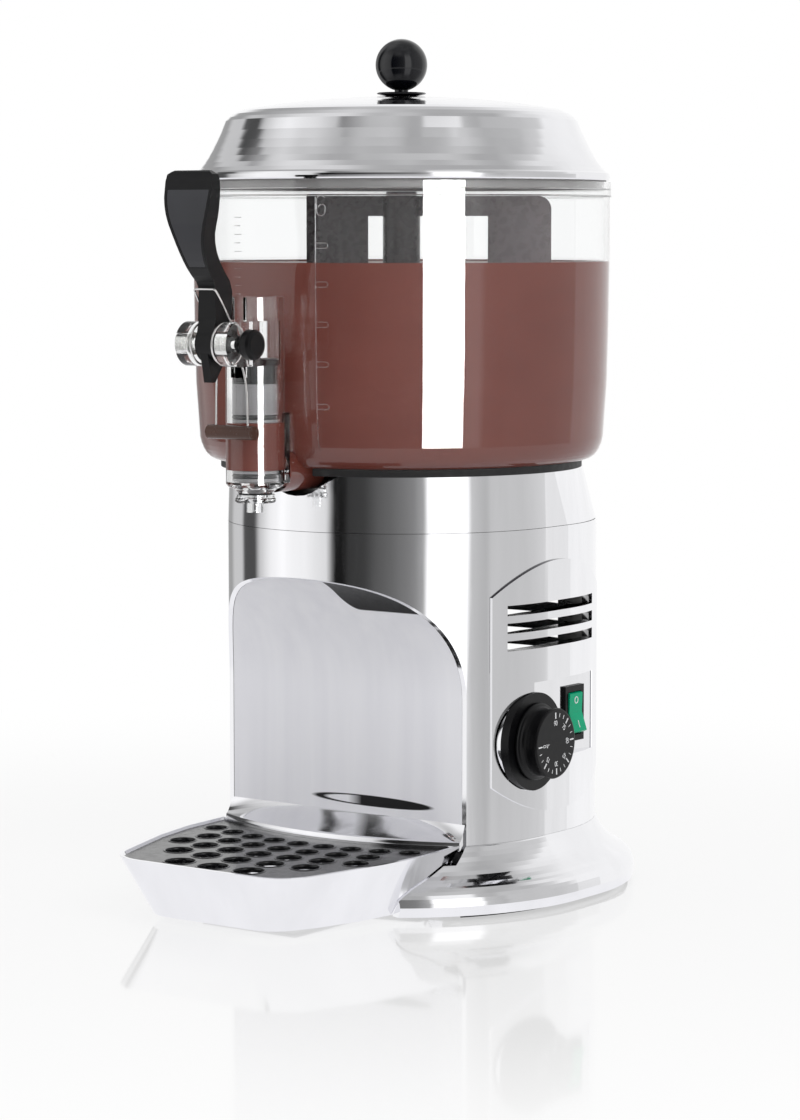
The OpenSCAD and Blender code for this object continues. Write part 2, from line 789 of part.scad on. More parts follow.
frame_front = recess_x + 2;
module switch_frame() color("black") {
  difference() {
    union() {
      block([recess_x + 0.1, switch_y - switch_w / 2, switch_z - switch_h / 2],
        [frame_front, switch_y + switch_w / 2, switch_z + switch_h / 2]);
      block([recess_x - 22, switch_y - 8.3, switch_z - 14.3],
        [recess_x + 1, switch_y + 8.3, switch_z + 14.3]);
    }
    block([recess_x - 18, switch_y - 7.1, switch_z - 13.2],
      [body_r + 5, switch_y + 7.1, switch_z + 13.2]);
  }
}

rocker_x = frame_front - 3.2;
rocker_tilt = -8;
module switch_rocker() color("seagreen") {
  translate([rocker_x, switch_y, switch_z]) rotate([0, rocker_tilt, 0]) intersection() {
    rotate([90, 0, 0]) translate([0, 0, -6.8]) linear_extrude(13.6)
      polygon([[-9, -7], [3.6, -12.9], [6.2, -12.4], [3.9, 0], [6.2, 12.4], [3.6, 12.9], [-9, 7]]);
    rotate([90, 0, 0]) translate([0, 0, -7]) cylinder(r = 12.9, h = 14);
  }
}

// ---------- bowl ----------

bowl_inner_r = bowl_r - bowl_wall;
bowl_corner = concat(
  [[0, bowl_z], [bowl_foot_r, bowl_z]],
  soft([bowl_foot_r + 1, bowl_z + 0.1], [bowl_foot_r + 6.5, bowl_z + 0.6], [bowl_r - 5.2, bowl_z + 4.5],
    [bowl_r - 3.4, bowl_z + 13], 7),
  [[bowl_r - 1.2, bowl_z + 46], [bowl_r - 0.5, bowl_z + 76], [bowl_r, bowl_z + 115], [bowl_r, bowl_top]]);

channel_z = bowl_z - 0.5;
channel_y0 = -tap_y + 13.5;
channel_y1 = -tank_r - 3.5;
pad_face = -tap_y + barrel_r;
channel_bore_r = channel_r - channel_wall;
pad_half_w = 12;
pad_top = bowl_z + 33;

module bowl_inside(grow) {
  rotate_extrude() polygon(concat([[0, floor_z + grow]],
    soft([bowl_foot_r - 3, floor_z + grow], [bowl_foot_r + 3, floor_z + 0.4], [bowl_r - 8, floor_z + 3],
      [bowl_r - 3.4 - bowl_wall, floor_z + 13], 6),
    [[bowl_r - 1.2 - bowl_wall, bowl_z + 46], [bowl_r - 0.5 - bowl_wall, bowl_z + 76],
      [bowl_inner_r, bowl_z + 115], [bowl_inner_r, bowl_top + over], [0, bowl_top + over]]));
}

module bowl() color([0.85, 0.9, 0.92, 0.35]) {
  difference() {
    union() {
      difference() {
        union() {
          rotate_extrude() polygon(concat(bowl_corner, [[0, bowl_top]]));
          translate([0, 0, bowl_top - rim_h]) cylinder(r = bowl_r + 0.6, h = rim_h);
          rod_y(channel_r, pad_face - 1, channel_y1, 0, channel_z);
          block([-pad_half_w, pad_face, channel_z], [pad_half_w, -bowl_r + 8, pad_top]);
        }
        bowl_inside(0);
      }
      translate([0, 0, bowl_z]) cylinder(r = chimney_r, h = chimney_top - bowl_z);
    }
    rod_y(channel_bore_r, pad_face - 5, channel_y1 - channel_wall, 0, channel_z);
    block([-bowl_r, pad_face - 30, bowl_z - 60], [bowl_r, pad_face, pad_top + 20]);
    translate([0, 0, bowl_z - over]) cylinder(r = chimney_r - 2.2, h = chimney_top);
  }
}

// ---------- tap ----------

barrel_floor = barrel_z + 2.5;
mouth_r = 5.5;
slot_half_w = 4.6;
slot_z = 313.4;

module tap_barrel() color([0.85, 0.9, 0.92, 0.4]) {
  difference() {
    union() {
      translate([0, -tap_y, 0]) rotate_extrude() polygon([[0, barrel_z - 3.7], [10, barrel_z - 3.7],
        [12.5, barrel_z - 1.6], [barrel_r - 1.2, barrel_z], [barrel_r, barrel_z + 1.4],
        [barrel_r, barrel_top], [0, barrel_top]]);
      block([-pad_half_w, -tap_y, barrel_z + 1.4], [pad_half_w, pad_face, pad_top]);
      for (s = [-1, 1]) {
        x0 = s > 0 ? ear_gap : -ear_gap - ear_t;
        rod_x(ear_r, x0, x0 + ear_t, -pin_y, pin_z);
        block([x0, -pin_y, pin_z - ear_r], [x0 + ear_t, -tap_y, pin_z + ear_r]);
      }
    }
    translate([0, -tap_y, barrel_floor]) cylinder(r = bore_r, h = barrel_top);
    translate([0, -tap_y, barrel_z - 10]) cylinder(r = mouth_r, h = 20);
    rod_y(7, -tap_y, pad_face + over, 0, channel_z + 4);
    rod_x(pin_r + run, -40, 40, -pin_y, pin_z);
    block([-slot_half_w, -tap_y - barrel_r - over, slot_z], [slot_half_w, -tap_y, barrel_top + over]);
  }
}

module nozzle_washer() color("black") {
  translate([0, -tap_y, 0]) ring(9.6, mouth_r, barrel_z - 4.7, barrel_z - 3.7);
}

module tap_nozzle() color([0.85, 0.9, 0.92, 0.5]) {
  top = barrel_z - 4.7;
  translate([0, -tap_y, 0]) rotate_extrude() polygon([[3.4, nozzle_z], [5, nozzle_z], [5, top - 4.6],
    [11.2, top - 4.6], [11.7, top - 4], [11.7, top - 2.4], [11, top - 1.9], [11, top], [mouth_r, top],
    [mouth_r, top - 2], [3.4, top - 4]]);
}

knob_neck_x = ear_gap + ear_t + gap;
knob_face_x = knob_neck_x + 12.2;
pin_knob_r = 8.6;

module lever_pin() color("silver") {
  rod_x(pin_r, -ear_gap - ear_t - 2.6, knob_neck_x + 5, -pin_y, pin_z);
}

module pin_knob() color("black") {
  difference() {
    translate([0, -pin_y, pin_z]) rotate([0, 90, 0]) rotate_extrude() polygon([
      [0, knob_neck_x], [pin_r + 1.2, knob_neck_x], [pin_r + 1.2, knob_neck_x + 3.6],
      [pin_knob_r - 1, knob_neck_x + 4.6], [pin_knob_r, knob_neck_x + 6.2], [pin_knob_r, knob_face_x - 2],
      [pin_knob_r - 0.9, knob_face_x - 0.7], [pin_knob_r - 2.6, knob_face_x], [0, knob_face_x]]);
    rod_x(pin_r + run, 0, knob_neck_x + 5.2, -pin_y, pin_z);
  }
}

module pin_clip() color("silver") {
  x = -ear_gap - ear_t - gap;
  difference() {
    rod_x(pin_r + 2.4, x - 1, x, -pin_y, pin_z);
    rod_x(pin_r + run, x - 2, x + 1, -pin_y, pin_z);
  }
}

arm_z = pin_z - 16.1;
arm_ball = 3.2;
arm_play = 1;
head_top = arm_z + 6.9;
head_z = arm_z - 7.3;
seal_top_z = head_z - 18.9;
seal_low_z = barrel_floor + 3.7;
piston_r = bore_r - 0.2;
seal_r = 1.3;
stem_r = 6;

module groove(z) {
  translate([0, -tap_y, z - seal_r - 0.1])
    ring(bore_r + 2, bore_r - run - 2 * seal_r - 0.1, 0, 2 * seal_r + 0.2);
}

module tap_piston() color("darkgray") {
  difference() {
    union() {
      translate([0, -tap_y, seal_top_z - 3]) cylinder(r = piston_r, h = head_z - seal_top_z + 3);
      translate([0, -tap_y, seal_low_z - 3]) cylinder(r = stem_r, h = seal_top_z - seal_low_z);
      translate([0, -tap_y, seal_low_z - 3]) cylinder(r = piston_r, h = 6);
    }
    groove(seal_top_z);
    groove(seal_low_z);
  }
}

module piston_cap() color("black") {
  difference() {
    translate([0, -tap_y, head_z]) cylinder(r = piston_r, h = head_top - head_z);
    block([-slot_half_w, -tap_y - bore_r - over, head_z + 0.8],
      [slot_half_w, -tap_y + 9, arm_z + arm_ball + arm_play]);
    block([-slot_half_w, -tap_y - bore_r - over, arm_z], [slot_half_w, -tap_y - 2.5, head_top + over]);
  }
}

module piston_seals() color("black") {
  for (z = [seal_low_z, seal_top_z]) translate([0, -tap_y, z])
    rotate_extrude() translate([bore_r - run - seal_r, 0]) circle(r = seal_r);
}

// Side view of the lever's blade from the pin's axis, first coordinate along Y, second along Z.
lever_k = lever_h / 96.9;
lever_front = lever_k * concat([[-6.4, 12.9], [-6.4, 30.9]],
  soft([-7.9, 34.9], [-14.4, 40.9], [-20.4, 50.9], [-22.6, 60.9], 6),
  soft([-23.7, 66.9], [-24.4, 74.9], [-23.4, 81.9], [-22.3, 85.9], 4),
  soft([-21.7, 90.9], [-21, 95.9], [-19.4, 96.9], [-16.9, 96.6], 4));
lever_rear = lever_k * concat([[-14.9, 92.9], [-14.6, 78.9], [-13.7, 66.9]],
  soft([-13, 61.9], [-10.4, 52.9], [-4.4, 43.9], [6.6, 34.9], 5), [[9.1, 28.9], [7.6, 16.9], [6.6, 12.9]]);

module lever_side_2d() {
  polygon(concat(lever_front, lever_rear));
}

// Front view of the blade: half widths grow from the waist to the spoon-shaped top.
lever_half = lever_k * concat([[6.6, 8.9], [5.9, 28.9], [6.1, 32.9]],
  soft([7.8, 42.9], [9, 52.9], [10.5, 58.9], [12.6, 64.9], 5),
  soft([14.5, 70.9], [16.8, 78.9], [17.6, 88.9], [16, 94.4], 5), [[12.5, 96.5], [6, 97.4]]);
lever_reach = 30 * lever_k;

module both_sides(half) {
  polygon(concat(half, [for (i = [len(half) - 1:-1:0]) [-half[i][0], half[i][1]]]));
}

// A plate of the side view's outline, from -half_w to half_w across the lever.
module lever_plate(half_w) {
  translate([-half_w, 0, 0]) rotate([90, 0, 90]) linear_extrude(2 * half_w) children();
}

module lever_blade_mask() {
  translate([0, lever_reach, 0]) rotate([90, 0, 0]) linear_extrude(2 * lever_reach) children();
}

ball_place = [pin_out, arm_z - pin_z];
arm_root = 5;
arm_tip = 2.2;
arm_half_w = 3.4;
tail_half_w = 2.7;
web_half_w = 5.9;
lever_bore = 20;

module tap_lever() color("black") {
  arm_side = let (u = ball_place / norm(ball_place)) [-u[1], u[0]];
  translate([0, -pin_y, pin_z]) difference() {
    union() {
      intersection() {
        lever_plate(lever_reach) lever_side_2d();
        lever_blade_mask() both_sides(lever_half);
      }
      rod_x(hub_r, -hub_half_w, hub_half_w, 0, 0);
      // Web between the hub and the blade.
      lever_plate(web_half_w) polygon([[-6.4, 13.9], [6.6, 13.9], [9.1, 2.9], [-8.9, 2.9]]);
      // Pointed tail under the hub.
      lever_plate(tail_half_w) polygon([[-9.4, -3.1], [-5.9, -21.5], [-2.4, -21.5], [8.6, -6.1]]);
      // Arm that reaches back into the piston's cap, and the round end that lifts it.
      lever_plate(arm_half_w) polygon([arm_root * arm_side, -arm_root * arm_side,
        ball_place - arm_tip * arm_side, ball_place + arm_tip * arm_side]);
      rod_x(arm_ball, -arm_half_w, arm_half_w, ball_place[0], ball_place[1]);
    }
    rod_x(pin_r + run, -lever_bore, lever_bore, 0, 0);
    lever_panel_cut();
  }
}

// A shallow pocket in the blade's front face for the glossy inlay.
pocket_low = 33 * lever_k;
pocket_high = 91.8 * lever_k;
module lever_pocket(shrink, depth) {
  front = [for (i = [3:len(lever_front) - 6]) lever_front[i]];
  intersection() {
    lever_plate(lever_reach) polygon(concat([for (p = front) p - [1, 0]],
      [for (i = [len(front) - 1:-1:0]) front[i] + [depth, 0]]));
    lever_blade_mask()
      both_sides([for (p = lever_half) if (p[1] > pocket_low && p[1] < pocket_high) p - [shrink, 0]]);
  }
}

module lever_panel_cut() {
  lever_pocket(1.8, 1.2);
}

module lever_panel() color([0.05, 0.05, 0.06]) {
  translate([0, -pin_y, pin_z]) intersection() {
    lever_pocket(2.0, 1.1);
    lever_plate(lever_reach) translate([0.15, 0]) lever_side_2d();
  }
}

// ---------- spring ----------

// One wire: from a hole in the sleeve up to the coil beside the hub, over the lever's front and back down.
coil_r = hub_r + 0.9 + wire_d / 2;
coil_x0 = hub_half_w + 0.25 + wire_d / 2;
coil_pitch = wire_d + 0.45;
coil_turns = 1.5;
curl_rings = 8;
wire_sides = 6;
sleeve_y = -tap_y - barrel_r - sleeve_r - 0.3;
leg_x = 11.4;
bar_z = pin_z + 30.8;
bar_y = -pin_y - 8.5;
bar_x = 7.4;

// The coil on the +X side runs round the hub from the lower leg, behind it, to the arm that goes forward.
coil_a0 = -8;
coil_side = [for (i = [0:curl_rings * coil_turns]) let (f = i / (curl_rings * coil_turns),
    a = coil_a0 + 360 * coil_turns * f)
  [coil_x0 + coil_pitch * coil_turns * (1 - f), -pin_y + coil_r * cos(a), pin_z + coil_r * sin(a)]];
leg_side = [[leg_x, sleeve_y, sleeve_z + 1], [leg_x, sleeve_y, sleeve_z + sleeve_r + 4],
  [leg_x - 0.6, sleeve_y - 0.4, pin_z - 24], [coil_x0 + coil_pitch * coil_turns, sleeve_y - 2, pin_z - 10]];
arm_side = [[bar_x + 0.6, bar_y + 4.5, bar_z - 9], [bar_x + 0.4, bar_y + 0.4, bar_z - 1.2],
  [bar_x - 0.8, bar_y, bar_z]];
half_wire = concat(leg_side, coil_side, arm_side);
wire_path = concat(half_wire,
  [for (i = [len(half_wire) - 1:-1:0]) [-half_wire[i][0], half_wire[i][1], half_wire[i][2]]]);

function unit(v) = v / norm(v);
function heading(p, i) = unit(p[min(i + 1, len(p) - 1)] - p[max(i - 1, 0)]);
// Frames carried along the path without twist.
function carry(p, i, u) = let (t = heading(p, i)) unit(u - (u * t) * t);
function frames(p, i, u) = i == len(p) ? [] : let (v = carry(p, i, u)) concat([v], frames(p, i + 1, v));
function tube_points(p, r, n) = let (f = frames(p, 0, [0, 1, 0])) [for (i = [0:len(p) - 1], k = [0:n - 1])
  let (t = heading(p, i), w = cross(t, f[i]), a = 360 * k / n) p[i] + r * (cos(a) * f[i] + sin(a) * w)];
function tube_faces(m, n) = concat([[for (k = [0:n - 1]) k]], [[for (k = [n - 1:-1:0]) (m - 1) * n + k]],
  [for (i = [0:m - 2], k = [0:n - 1]) [i * n + k, (i + 1) * n + k, (i + 1) * n + (k + 1) % n]],
  [for (i = [0:m - 2], k = [0:n - 1]) [i * n + k, (i + 1) * n + (k + 1) % n, i * n + (k + 1) % n]]);

// Least distance between two turns of one coil, measured between ring centres a full turn apart.
coil_gap = min([for (i = [0:len(coil_side) - 1], j = [0:len(coil_side) - 1]) if (j >= i + curl_rings - 2)
  norm(coil_side[i] - coil_side[j])]) - wire_d;
echo(spring_least_gap = coil_gap);

module tap_spring() color("silver") {
  polyhedron(points = tube_points(wire_path, wire_d / 2, wire_sides),
    faces = tube_faces(len(wire_path), wire_sides));
}

module spring_sleeve() color("saddlebrown") {
  difference() {
    rod_x(sleeve_r, -16.5, 16.5, sleeve_y, sleeve_z);
    for (x = [-leg_x, leg_x]) translate([x, sleeve_y, sleeve_z]) cylinder(r = wire_d / 2 + 0.25, h = 10);
  }
}

// ---------- stirrer ----------

socket_half = tip_half + 0.25;
cross_h = 12;
blade_in = 57;
blade_low = floor_z + 3;
blade_corner = 8;
module stirrer() color([0.25, 0.18, 0.16]) {
  rotate([0, 0, blade_angle]) difference() {
    union() {
      translate([0, 0, floor_z + 1.5]) cylinder(r = column_r, h = stirrer_top - floor_z - 1.5);
      // Outer blade, scraping near the wall, and inner blade on the other side.
      translate([0, blade_t / 2, 0]) rotate([90, 0, 0]) linear_extrude(blade_t) difference() {
        union() {
          translate([blade_out - blade_w, blade_low])
            square([blade_w, stirrer_top - blade_corner - blade_low]);
          translate([blade_out - blade_corner, stirrer_top - blade_corner]) circle(r = blade_corner);
          translate([-blade_in, blade_low]) square([blade_w - 1, stirrer_top - blade_low]);
          translate([-blade_in, stirrer_top - cross_h])
            square([blade_out + blade_in - blade_corner, cross_h]);
        }
        for (z = [floor_z + 30:34:stirrer_top - 60]) translate([blade_out - blade_w / 2, z]) circle(r = 7);
      }
    }
    translate([0, 0, floor_z]) cylinder(r = chimney_r + 0.4, h = chimney_top + gap - floor_z);
    block([-socket_half, -socket_half, chimney_top], [socket_half, socket_half, chimney_top + tip_h + gap]);
  }
}

module stirrer_cap() color([0.2, 0.15, 0.13]) {
  translate([0, 0, stirrer_top]) cylinder(r = column_r - 2, h = 2.5);
}

// ---------- lid ----------

lid_k = lid_h / 50;
function lz(z) = rim_z + z * lid_k;
lid_r = bowl_r - 0.5;
lid_line = concat([[0, lz(50)]],
  soft([12, lz(49.95)], [50, lz(48.9)], [78, lz(45.2)], [lid_r - 34, lz(42.6)], 6),
  soft([lid_r - 31, lz(42.4)], [lid_r - 25, lz(41)], [lid_r - 21, lz(38)], [lid_r - 19, lz(35.4)], 4),
  soft([lid_r - 16.5, lz(29)], [lid_r - 11, lz(17)], [lid_r - 6.5, lz(9)], [lid_r - 1.5, lz(5.1)], 6),
  soft([lid_r, lz(4.2)], [lid_r + 0.7, lz(3)], [lid_r + 0.6, lz(1)], [lid_r, lz(0)], 4));

module lid() color("gainsboro") {
  difference() {
    rotate_extrude() polygon(concat([lid_line[0]], [for (i = [1:len(lid_line) - 1]) lid_line[i]],
      [for (i = [len(lid_line) - 1:-1:1]) side_point(lid_line, i, lid_wall)], [[0, lz(50) - lid_wall]]));
    translate([0, 0, lid_top - 10]) cylinder(r = 2.6, h = 20);
  }
}

ring_r1 = bowl_inner_r - 0.5;
module lid_ring() color("black") {
  ring(ring_r1, ring_r1 - 3, bowl_top - 4, rim_z + 0.6);
  ring(lid_r - lid_wall - 0.6, ring_r1 - 3, bowl_top + gap, rim_z + 0.6);
}

ball_z = lid_top + ball_up;
neck_r = 4.1;
neck_z = lid_top + 3.5;
module knob_dish() color("black") {
  difference() {
    rotate_extrude() polygon(concat([[0, lid_top + 0.1], [9, lid_top + 0.1]],
      soft([10, lid_top + 0.4], [12, lid_top + 1], [dish_r, lid_top + 1.2], [dish_r, lid_top + 2.2], 4),
      soft([dish_r - 0.6, lid_top + 2.6], [9, lid_top + 2], [6, lid_top + 2], [neck_r, lid_top + 2.6], 4),
      [[neck_r, neck_z], [0, neck_z]]));
    translate([0, 0, lid_top - over]) cylinder(r = 2.6, h = 20);
  }
}

module ball_knob() color("black") {
  difference() {
    union() {
      translate([0, 0, ball_z]) sphere(r = ball_r);
      translate([0, 0, neck_z]) cylinder(r = neck_r, h = 3);
    }
    translate([0, 0, lid_top]) cylinder(r = 2.6, h = 18);
  }
}

module lid_screw() color("silver") {
  translate([0, 0, lid_top - lid_wall - 2.1]) {
    cylinder(r = 5, h = 2);
    cylinder(r = 2.5, h = 17);
  }
}

// ---------- drip tray ----------

tray_gap = 0.8;
tray_rear_r = ledge_r + tray_gap;
tray_tilt = atan(tray_fall / (tray_front - niche_y));
tray_taper = 18;
edge_r = 5;
corner_r = 26.5;
corner_x = 44;

// Corner circles of the tray's outline on the +X side: place and radius. k shrinks the outline towards
// the bottom, g grows it evenly.
function tray_corners(k, g) = [
  [tray_half_w - edge_r - k, -niche_y - edge_r, edge_r + g],
  [tray_half_w - edge_r - k, -100, edge_r + g],
  [tray_half_w - edge_r - 4.5 - k, -130, edge_r + g],
  [tray_half_w - edge_r - 12.5 - k, -158, edge_r + g],
  [corner_x - k * 0.7, corner_r - tray_front + k * 0.4, corner_r - k * 0.3 + g]];

// How much the tray's outline has shrunk at the height z.
function tray_shrink(z) = tray_taper * (tray_h - z) / (tray_h - tray_z);

// Tips its children forward about the rear of the tray's rim.
module tray_tip() {
  translate([0, -niche_y, tray_h]) rotate([tray_tilt, 0, 0]) translate([0, niche_y, -tray_h]) children();
}

// One level of the tray, as a thin slab at height z.
module tray_level(g, z) {
  for (c = tray_corners(tray_shrink(z), g), s = [-1, 1]) translate([s * c[0], c[1], z])
    cylinder(r = c[2], h = 0.1, $fn = 40);
}

// The tray's form from the level z0 up to the sloping rim at z1.
module tray_body(g, z0, z1) {
  hull() {
    tray_level(g, z0);
    tray_tip() tray_level(g, z1 - 0.1);
  }
}

// The room that the tray and its way out take in the foot and the bottom plate.
module tray_space() {
  tray_body(tray_gap, plate_top - 10, foot_h + 10);
  block([-tray_half_w - tray_gap, -3 * body_r, -10], [tray_half_w + tray_gap, -105, foot_h + 10]);
  block([-niche_side_x, -body_r, foot_h - 10], [niche_side_x, -niche_y, foot_h + 10]);
}

// What lies behind the tray's rear edge, and a little more where extra is set.
module tray_back(extra) {
  translate([0, ledge_centre_y, -10]) cylinder(r = tray_rear_r + extra, h = 100, $fn = 360);
}

module drip_tray() color("gainsboro") {
  difference() {
    tray_body(0, tray_z, tray_h);
    difference() {
      tray_body(-tray_wall, tray_z + tray_wall, tray_h + 5);
      tray_back(tray_wall);
    }
    tray_back(0);
  }
}

grid_z = tray_h - grid_drop - grid_t;
// Rows of holes from the front: distance from the arcs' centre, and the holes on each side of the middle.
grid_rows = [[289, 1], [267, 2], [247, 3], [228, 3], [210, 4]];

module drip_grid() color("black") {
  tray_tip() difference() {
    hull() for (z = [grid_z, grid_z + grid_t - 0.1]) tray_level(-tray_wall - gap, z);
    tray_back(tray_wall + gap);
    translate([0, ledge_centre_y, 0]) for (row = grid_rows, i = [-row[1]:row[1]])
      rotate([0, 0, i * grid_step]) translate([0, -row[0], 0])
        cylinder(r = grid_hole_r * row[0] / grid_rows[0][0], h = 2 * tray_h);
  }
}

housing();
foot_skirt();
collar();
niche_liner();
splash_ledge();
bottom_plate();
rubber_ring();
ring_screws();
top_deck();
water_tank();
heating_element();
tank_tube_bush();
shaft_seal();
bowl_gasket();
gearbox();
gear_motor();
motor_bracket();
bracket_screws();
drive_shaft();
rear_cover();
rear_cover_screws();
cable_gland();
terminal_block();
control_panel();
thermostat_body();
sensing_bulb();
safety_thermostat();
dial_bezel();
dial_knob();
switch_frame();
switch_rocker();
bowl();
tap_barrel();
tap_nozzle();
nozzle_washer();
lever_pin();
pin_knob();
pin_clip();
tap_spring();
spring_sleeve();
tap_piston();
piston_cap();
piston_seals();
tap_lever();
lever_panel();
stirrer();
stirrer_cap();
lid();
lid_ring();
knob_dish();
ball_knob();
lid_screw();
drip_tray();
drip_grid();
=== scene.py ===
# %% [markdown]
# # A hot chocolate dispenser, piece by piece
# The machine is a polished metal body on a flared foot, with a clear bowl of chocolate on top, a piston
# tap with a hand lever in front, a stirrer inside and a domed lid. The CAD pack already holds every solid
# in its true place, so this lesson loads it first and then gives it finishes, light and fine details.

# %% Load the frame
import math
import bpy
import bmesh
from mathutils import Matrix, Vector


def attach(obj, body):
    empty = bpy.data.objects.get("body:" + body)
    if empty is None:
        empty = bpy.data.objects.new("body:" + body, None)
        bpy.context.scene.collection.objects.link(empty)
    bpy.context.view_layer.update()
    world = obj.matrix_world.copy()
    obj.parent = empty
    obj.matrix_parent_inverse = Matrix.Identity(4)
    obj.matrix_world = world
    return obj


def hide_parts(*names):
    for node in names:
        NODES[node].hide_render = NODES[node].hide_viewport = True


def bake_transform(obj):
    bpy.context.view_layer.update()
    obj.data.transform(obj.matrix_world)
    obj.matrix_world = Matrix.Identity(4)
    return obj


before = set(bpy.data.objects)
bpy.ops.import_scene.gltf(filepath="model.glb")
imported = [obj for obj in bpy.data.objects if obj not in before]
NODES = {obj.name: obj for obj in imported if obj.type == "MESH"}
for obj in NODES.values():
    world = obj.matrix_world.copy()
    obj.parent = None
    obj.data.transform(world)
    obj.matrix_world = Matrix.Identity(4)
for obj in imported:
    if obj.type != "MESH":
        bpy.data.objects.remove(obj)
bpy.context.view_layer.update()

# %% [markdown]
# ## Camera
# The photograph was taken from a little under the lid's height, about two metres away and 36 degrees to
# the right of the tap. A long lens keeps the upright edges nearly parallel, so the same distance and the
# same lens are used here instead of moving closer with a wide one.

# %% Camera
MM = 0.001
CAMERA_TURN = math.radians(36)
CAMERA_PITCH = 0.097
CAMERA_YAW_TRIM = 0.00044
camera = bpy.data.objects.new("camera", bpy.data.cameras.new("camera"))
bpy.context.scene.collection.objects.link(camera)
camera.location = (1.2128, -1.6692, 0.39805)
camera.rotation_euler = (math.pi / 2 - CAMERA_PITCH, 0, CAMERA_TURN + CAMERA_YAW_TRIM)
camera.data.lens = 109.79
camera.data.sensor_width = 36
camera.data.clip_end = 50
bpy.context.scene.camera = camera
bpy.context.scene.view_settings.view_transform = "Standard"
print("camera lens", camera.data.lens, "mm")

# %% [markdown]
# ## Node helpers
# Every finish below is a small tree of shader nodes. Small helpers keep the trees readable: they start a
# material, add a node and wire its inputs, do sums on values, and turn a noise into values or colours.


# %% Node helpers
def wire(tree, kind, inputs=None, **settings):
    """Adds a node, sets its fields, and fills each input with a value or a link."""
    node = tree.nodes.new(kind)
    for key, value in settings.items():
        setattr(node, key, value)
    for key, value in (inputs or {}).items():
        if isinstance(value, bpy.types.NodeSocket):
            tree.links.new(value, node.inputs[key])
        else:
            node.inputs[key].default_value = value
    return node


def start_material(name):
    """An empty node material and its output node."""
    material = bpy.data.materials.new(name)
    material.use_nodes = True
    material.node_tree.nodes.clear()
    return material, material.node_tree, material.node_tree.nodes.new("ShaderNodeOutputMaterial")


def own_place(tree):
    """The point on the piece in metres."""
    return wire(tree, "ShaderNodeTexCoord").outputs["Object"]


def stretched_place(tree, stretch):
    """The point on the piece, stretched along the axes, so that a noise becomes grain or streaks."""
    return wire(tree, "ShaderNodeMapping", {"Vector": own_place(tree), "Scale": stretch}).outputs[0]


def parts_of(tree, vector):
    """The X, Y and Z of a vector."""
    return wire(tree, "ShaderNodeSeparateXYZ", {0: vector}).outputs


def length_of(tree, vector):
    """The length of a vector."""
    return wire(tree, "ShaderNodeVectorMath", {0: vector}, operation="LENGTH").outputs["Value"]


def flat_vector(tree, x, y):
    """A vector of two values."""
    return wire(tree, "ShaderNodeCombineXYZ", {0: x, 1: y}).outputs[0]


def maths(tree, operation, a, b=0.0, **settings):
    """One sum on two values."""
    return wire(tree, "ShaderNodeMath", {0: a, 1: b}, operation=operation, **settings).outputs[0]


def spread(tree, value, start, end, low=0.0, high=1.0, **settings):
    """A value that runs from low to high while the given one runs from start to end."""
    return wire(tree, "ShaderNodeMapRange", {"Value": value, "From Min": start, "From Max": end,
                                             "To Min": low, "To Max": high}, **settings).outputs["Result"]


def noise_between(tree, place, scale, low, high, detail=3.0):
    """A noise pattern whose values run from low to high."""
    noise = wire(tree, "ShaderNodeTexNoise", {"Vector": place, "Scale": scale, "Detail": detail})
    return spread(tree, noise.outputs["Fac"], 0.3, 0.7, low, high)


def colour_between(tree, fac, low, high):
    """A colour that goes from low to high with fac. Each is a colour of three numbers or a link."""
    mix = wire(tree, "ShaderNodeMix", data_type="RGBA")
    tree.links.new(fac, mix.inputs[0])
    for socket, colour in ((mix.inputs[6], low), (mix.inputs[7], high)):
        if isinstance(colour, bpy.types.NodeSocket):
            tree.links.new(colour, socket)
        else:
            socket.default_value = (*colour, 1)
    return mix.outputs[2]


def main_shader(tree):
    """The tree's principled shader."""
    return next(n for n in tree.nodes if n.type == "BSDF_PRINCIPLED")


def srgb(*levels):
    """A colour given in picture levels from 0 to 255, as the linear numbers that shaders take."""
    return tuple((v / 255 / 12.92) if v <= 10 else ((v / 255 + 0.055) / 1.055) ** 2.4 for v in levels)


print("helpers ready")

# %% [markdown]
# ## Floor
# The machine stands on glossy white acrylic: bright, with a faint mirror image under the object. The disc
# mixes a matt white with a weak mirror. It doesn't show in the metal, because in a studio this size the
# table ends before the mirrored rays reach it, and the world below gives the metal its white underside.

# %% Floor
FLOOR_RADIUS, FLOOR_SIDES = 6.0, 96
GLOW_NEAR, GLOW_RISE = 0.72, (0.25, 0.8)
MIRROR_NEAR, MIRROR_FADE = 0.26, (0.2, 0.75)
turns = [2 * math.pi * i / FLOOR_SIDES for i in range(FLOOR_SIDES)]
floor_mesh = bpy.data.meshes.new("floor")
floor_mesh.from_pydata([(FLOOR_RADIUS * math.cos(a), FLOOR_RADIUS * math.sin(a), 0) for a in turns], [],
                       [list(range(FLOOR_SIDES))])
floor = bpy.data.objects.new("floor", floor_mesh)
bpy.context.scene.collection.objects.link(floor)
material, tree, out = start_material("white_acrylic")
path = wire(tree, "ShaderNodeLightPath")
matt = wire(tree, "ShaderNodeBsdfDiffuse", {"Color": (0.9, 0.9, 0.9, 1)})
glow = wire(tree, "ShaderNodeEmission", {"Color": (1, 1, 1, 1), "Strength": 1.0})
away = length_of(tree, own_place(tree))
whiter = spread(tree, away, *GLOW_RISE, GLOW_NEAR, 1.0, interpolation_type="SMOOTHSTEP")
lit = wire(tree, "ShaderNodeMixShader", {0: whiter, 1: matt.outputs[0], 2: glow.outputs[0]})
mirror = wire(tree, "ShaderNodeBsdfGlossy", {"Color": (1, 1, 1, 1), "Roughness": 0.06})
fading = spread(tree, away, *MIRROR_FADE, MIRROR_NEAR, 0.0, interpolation_type="SMOOTHSTEP")
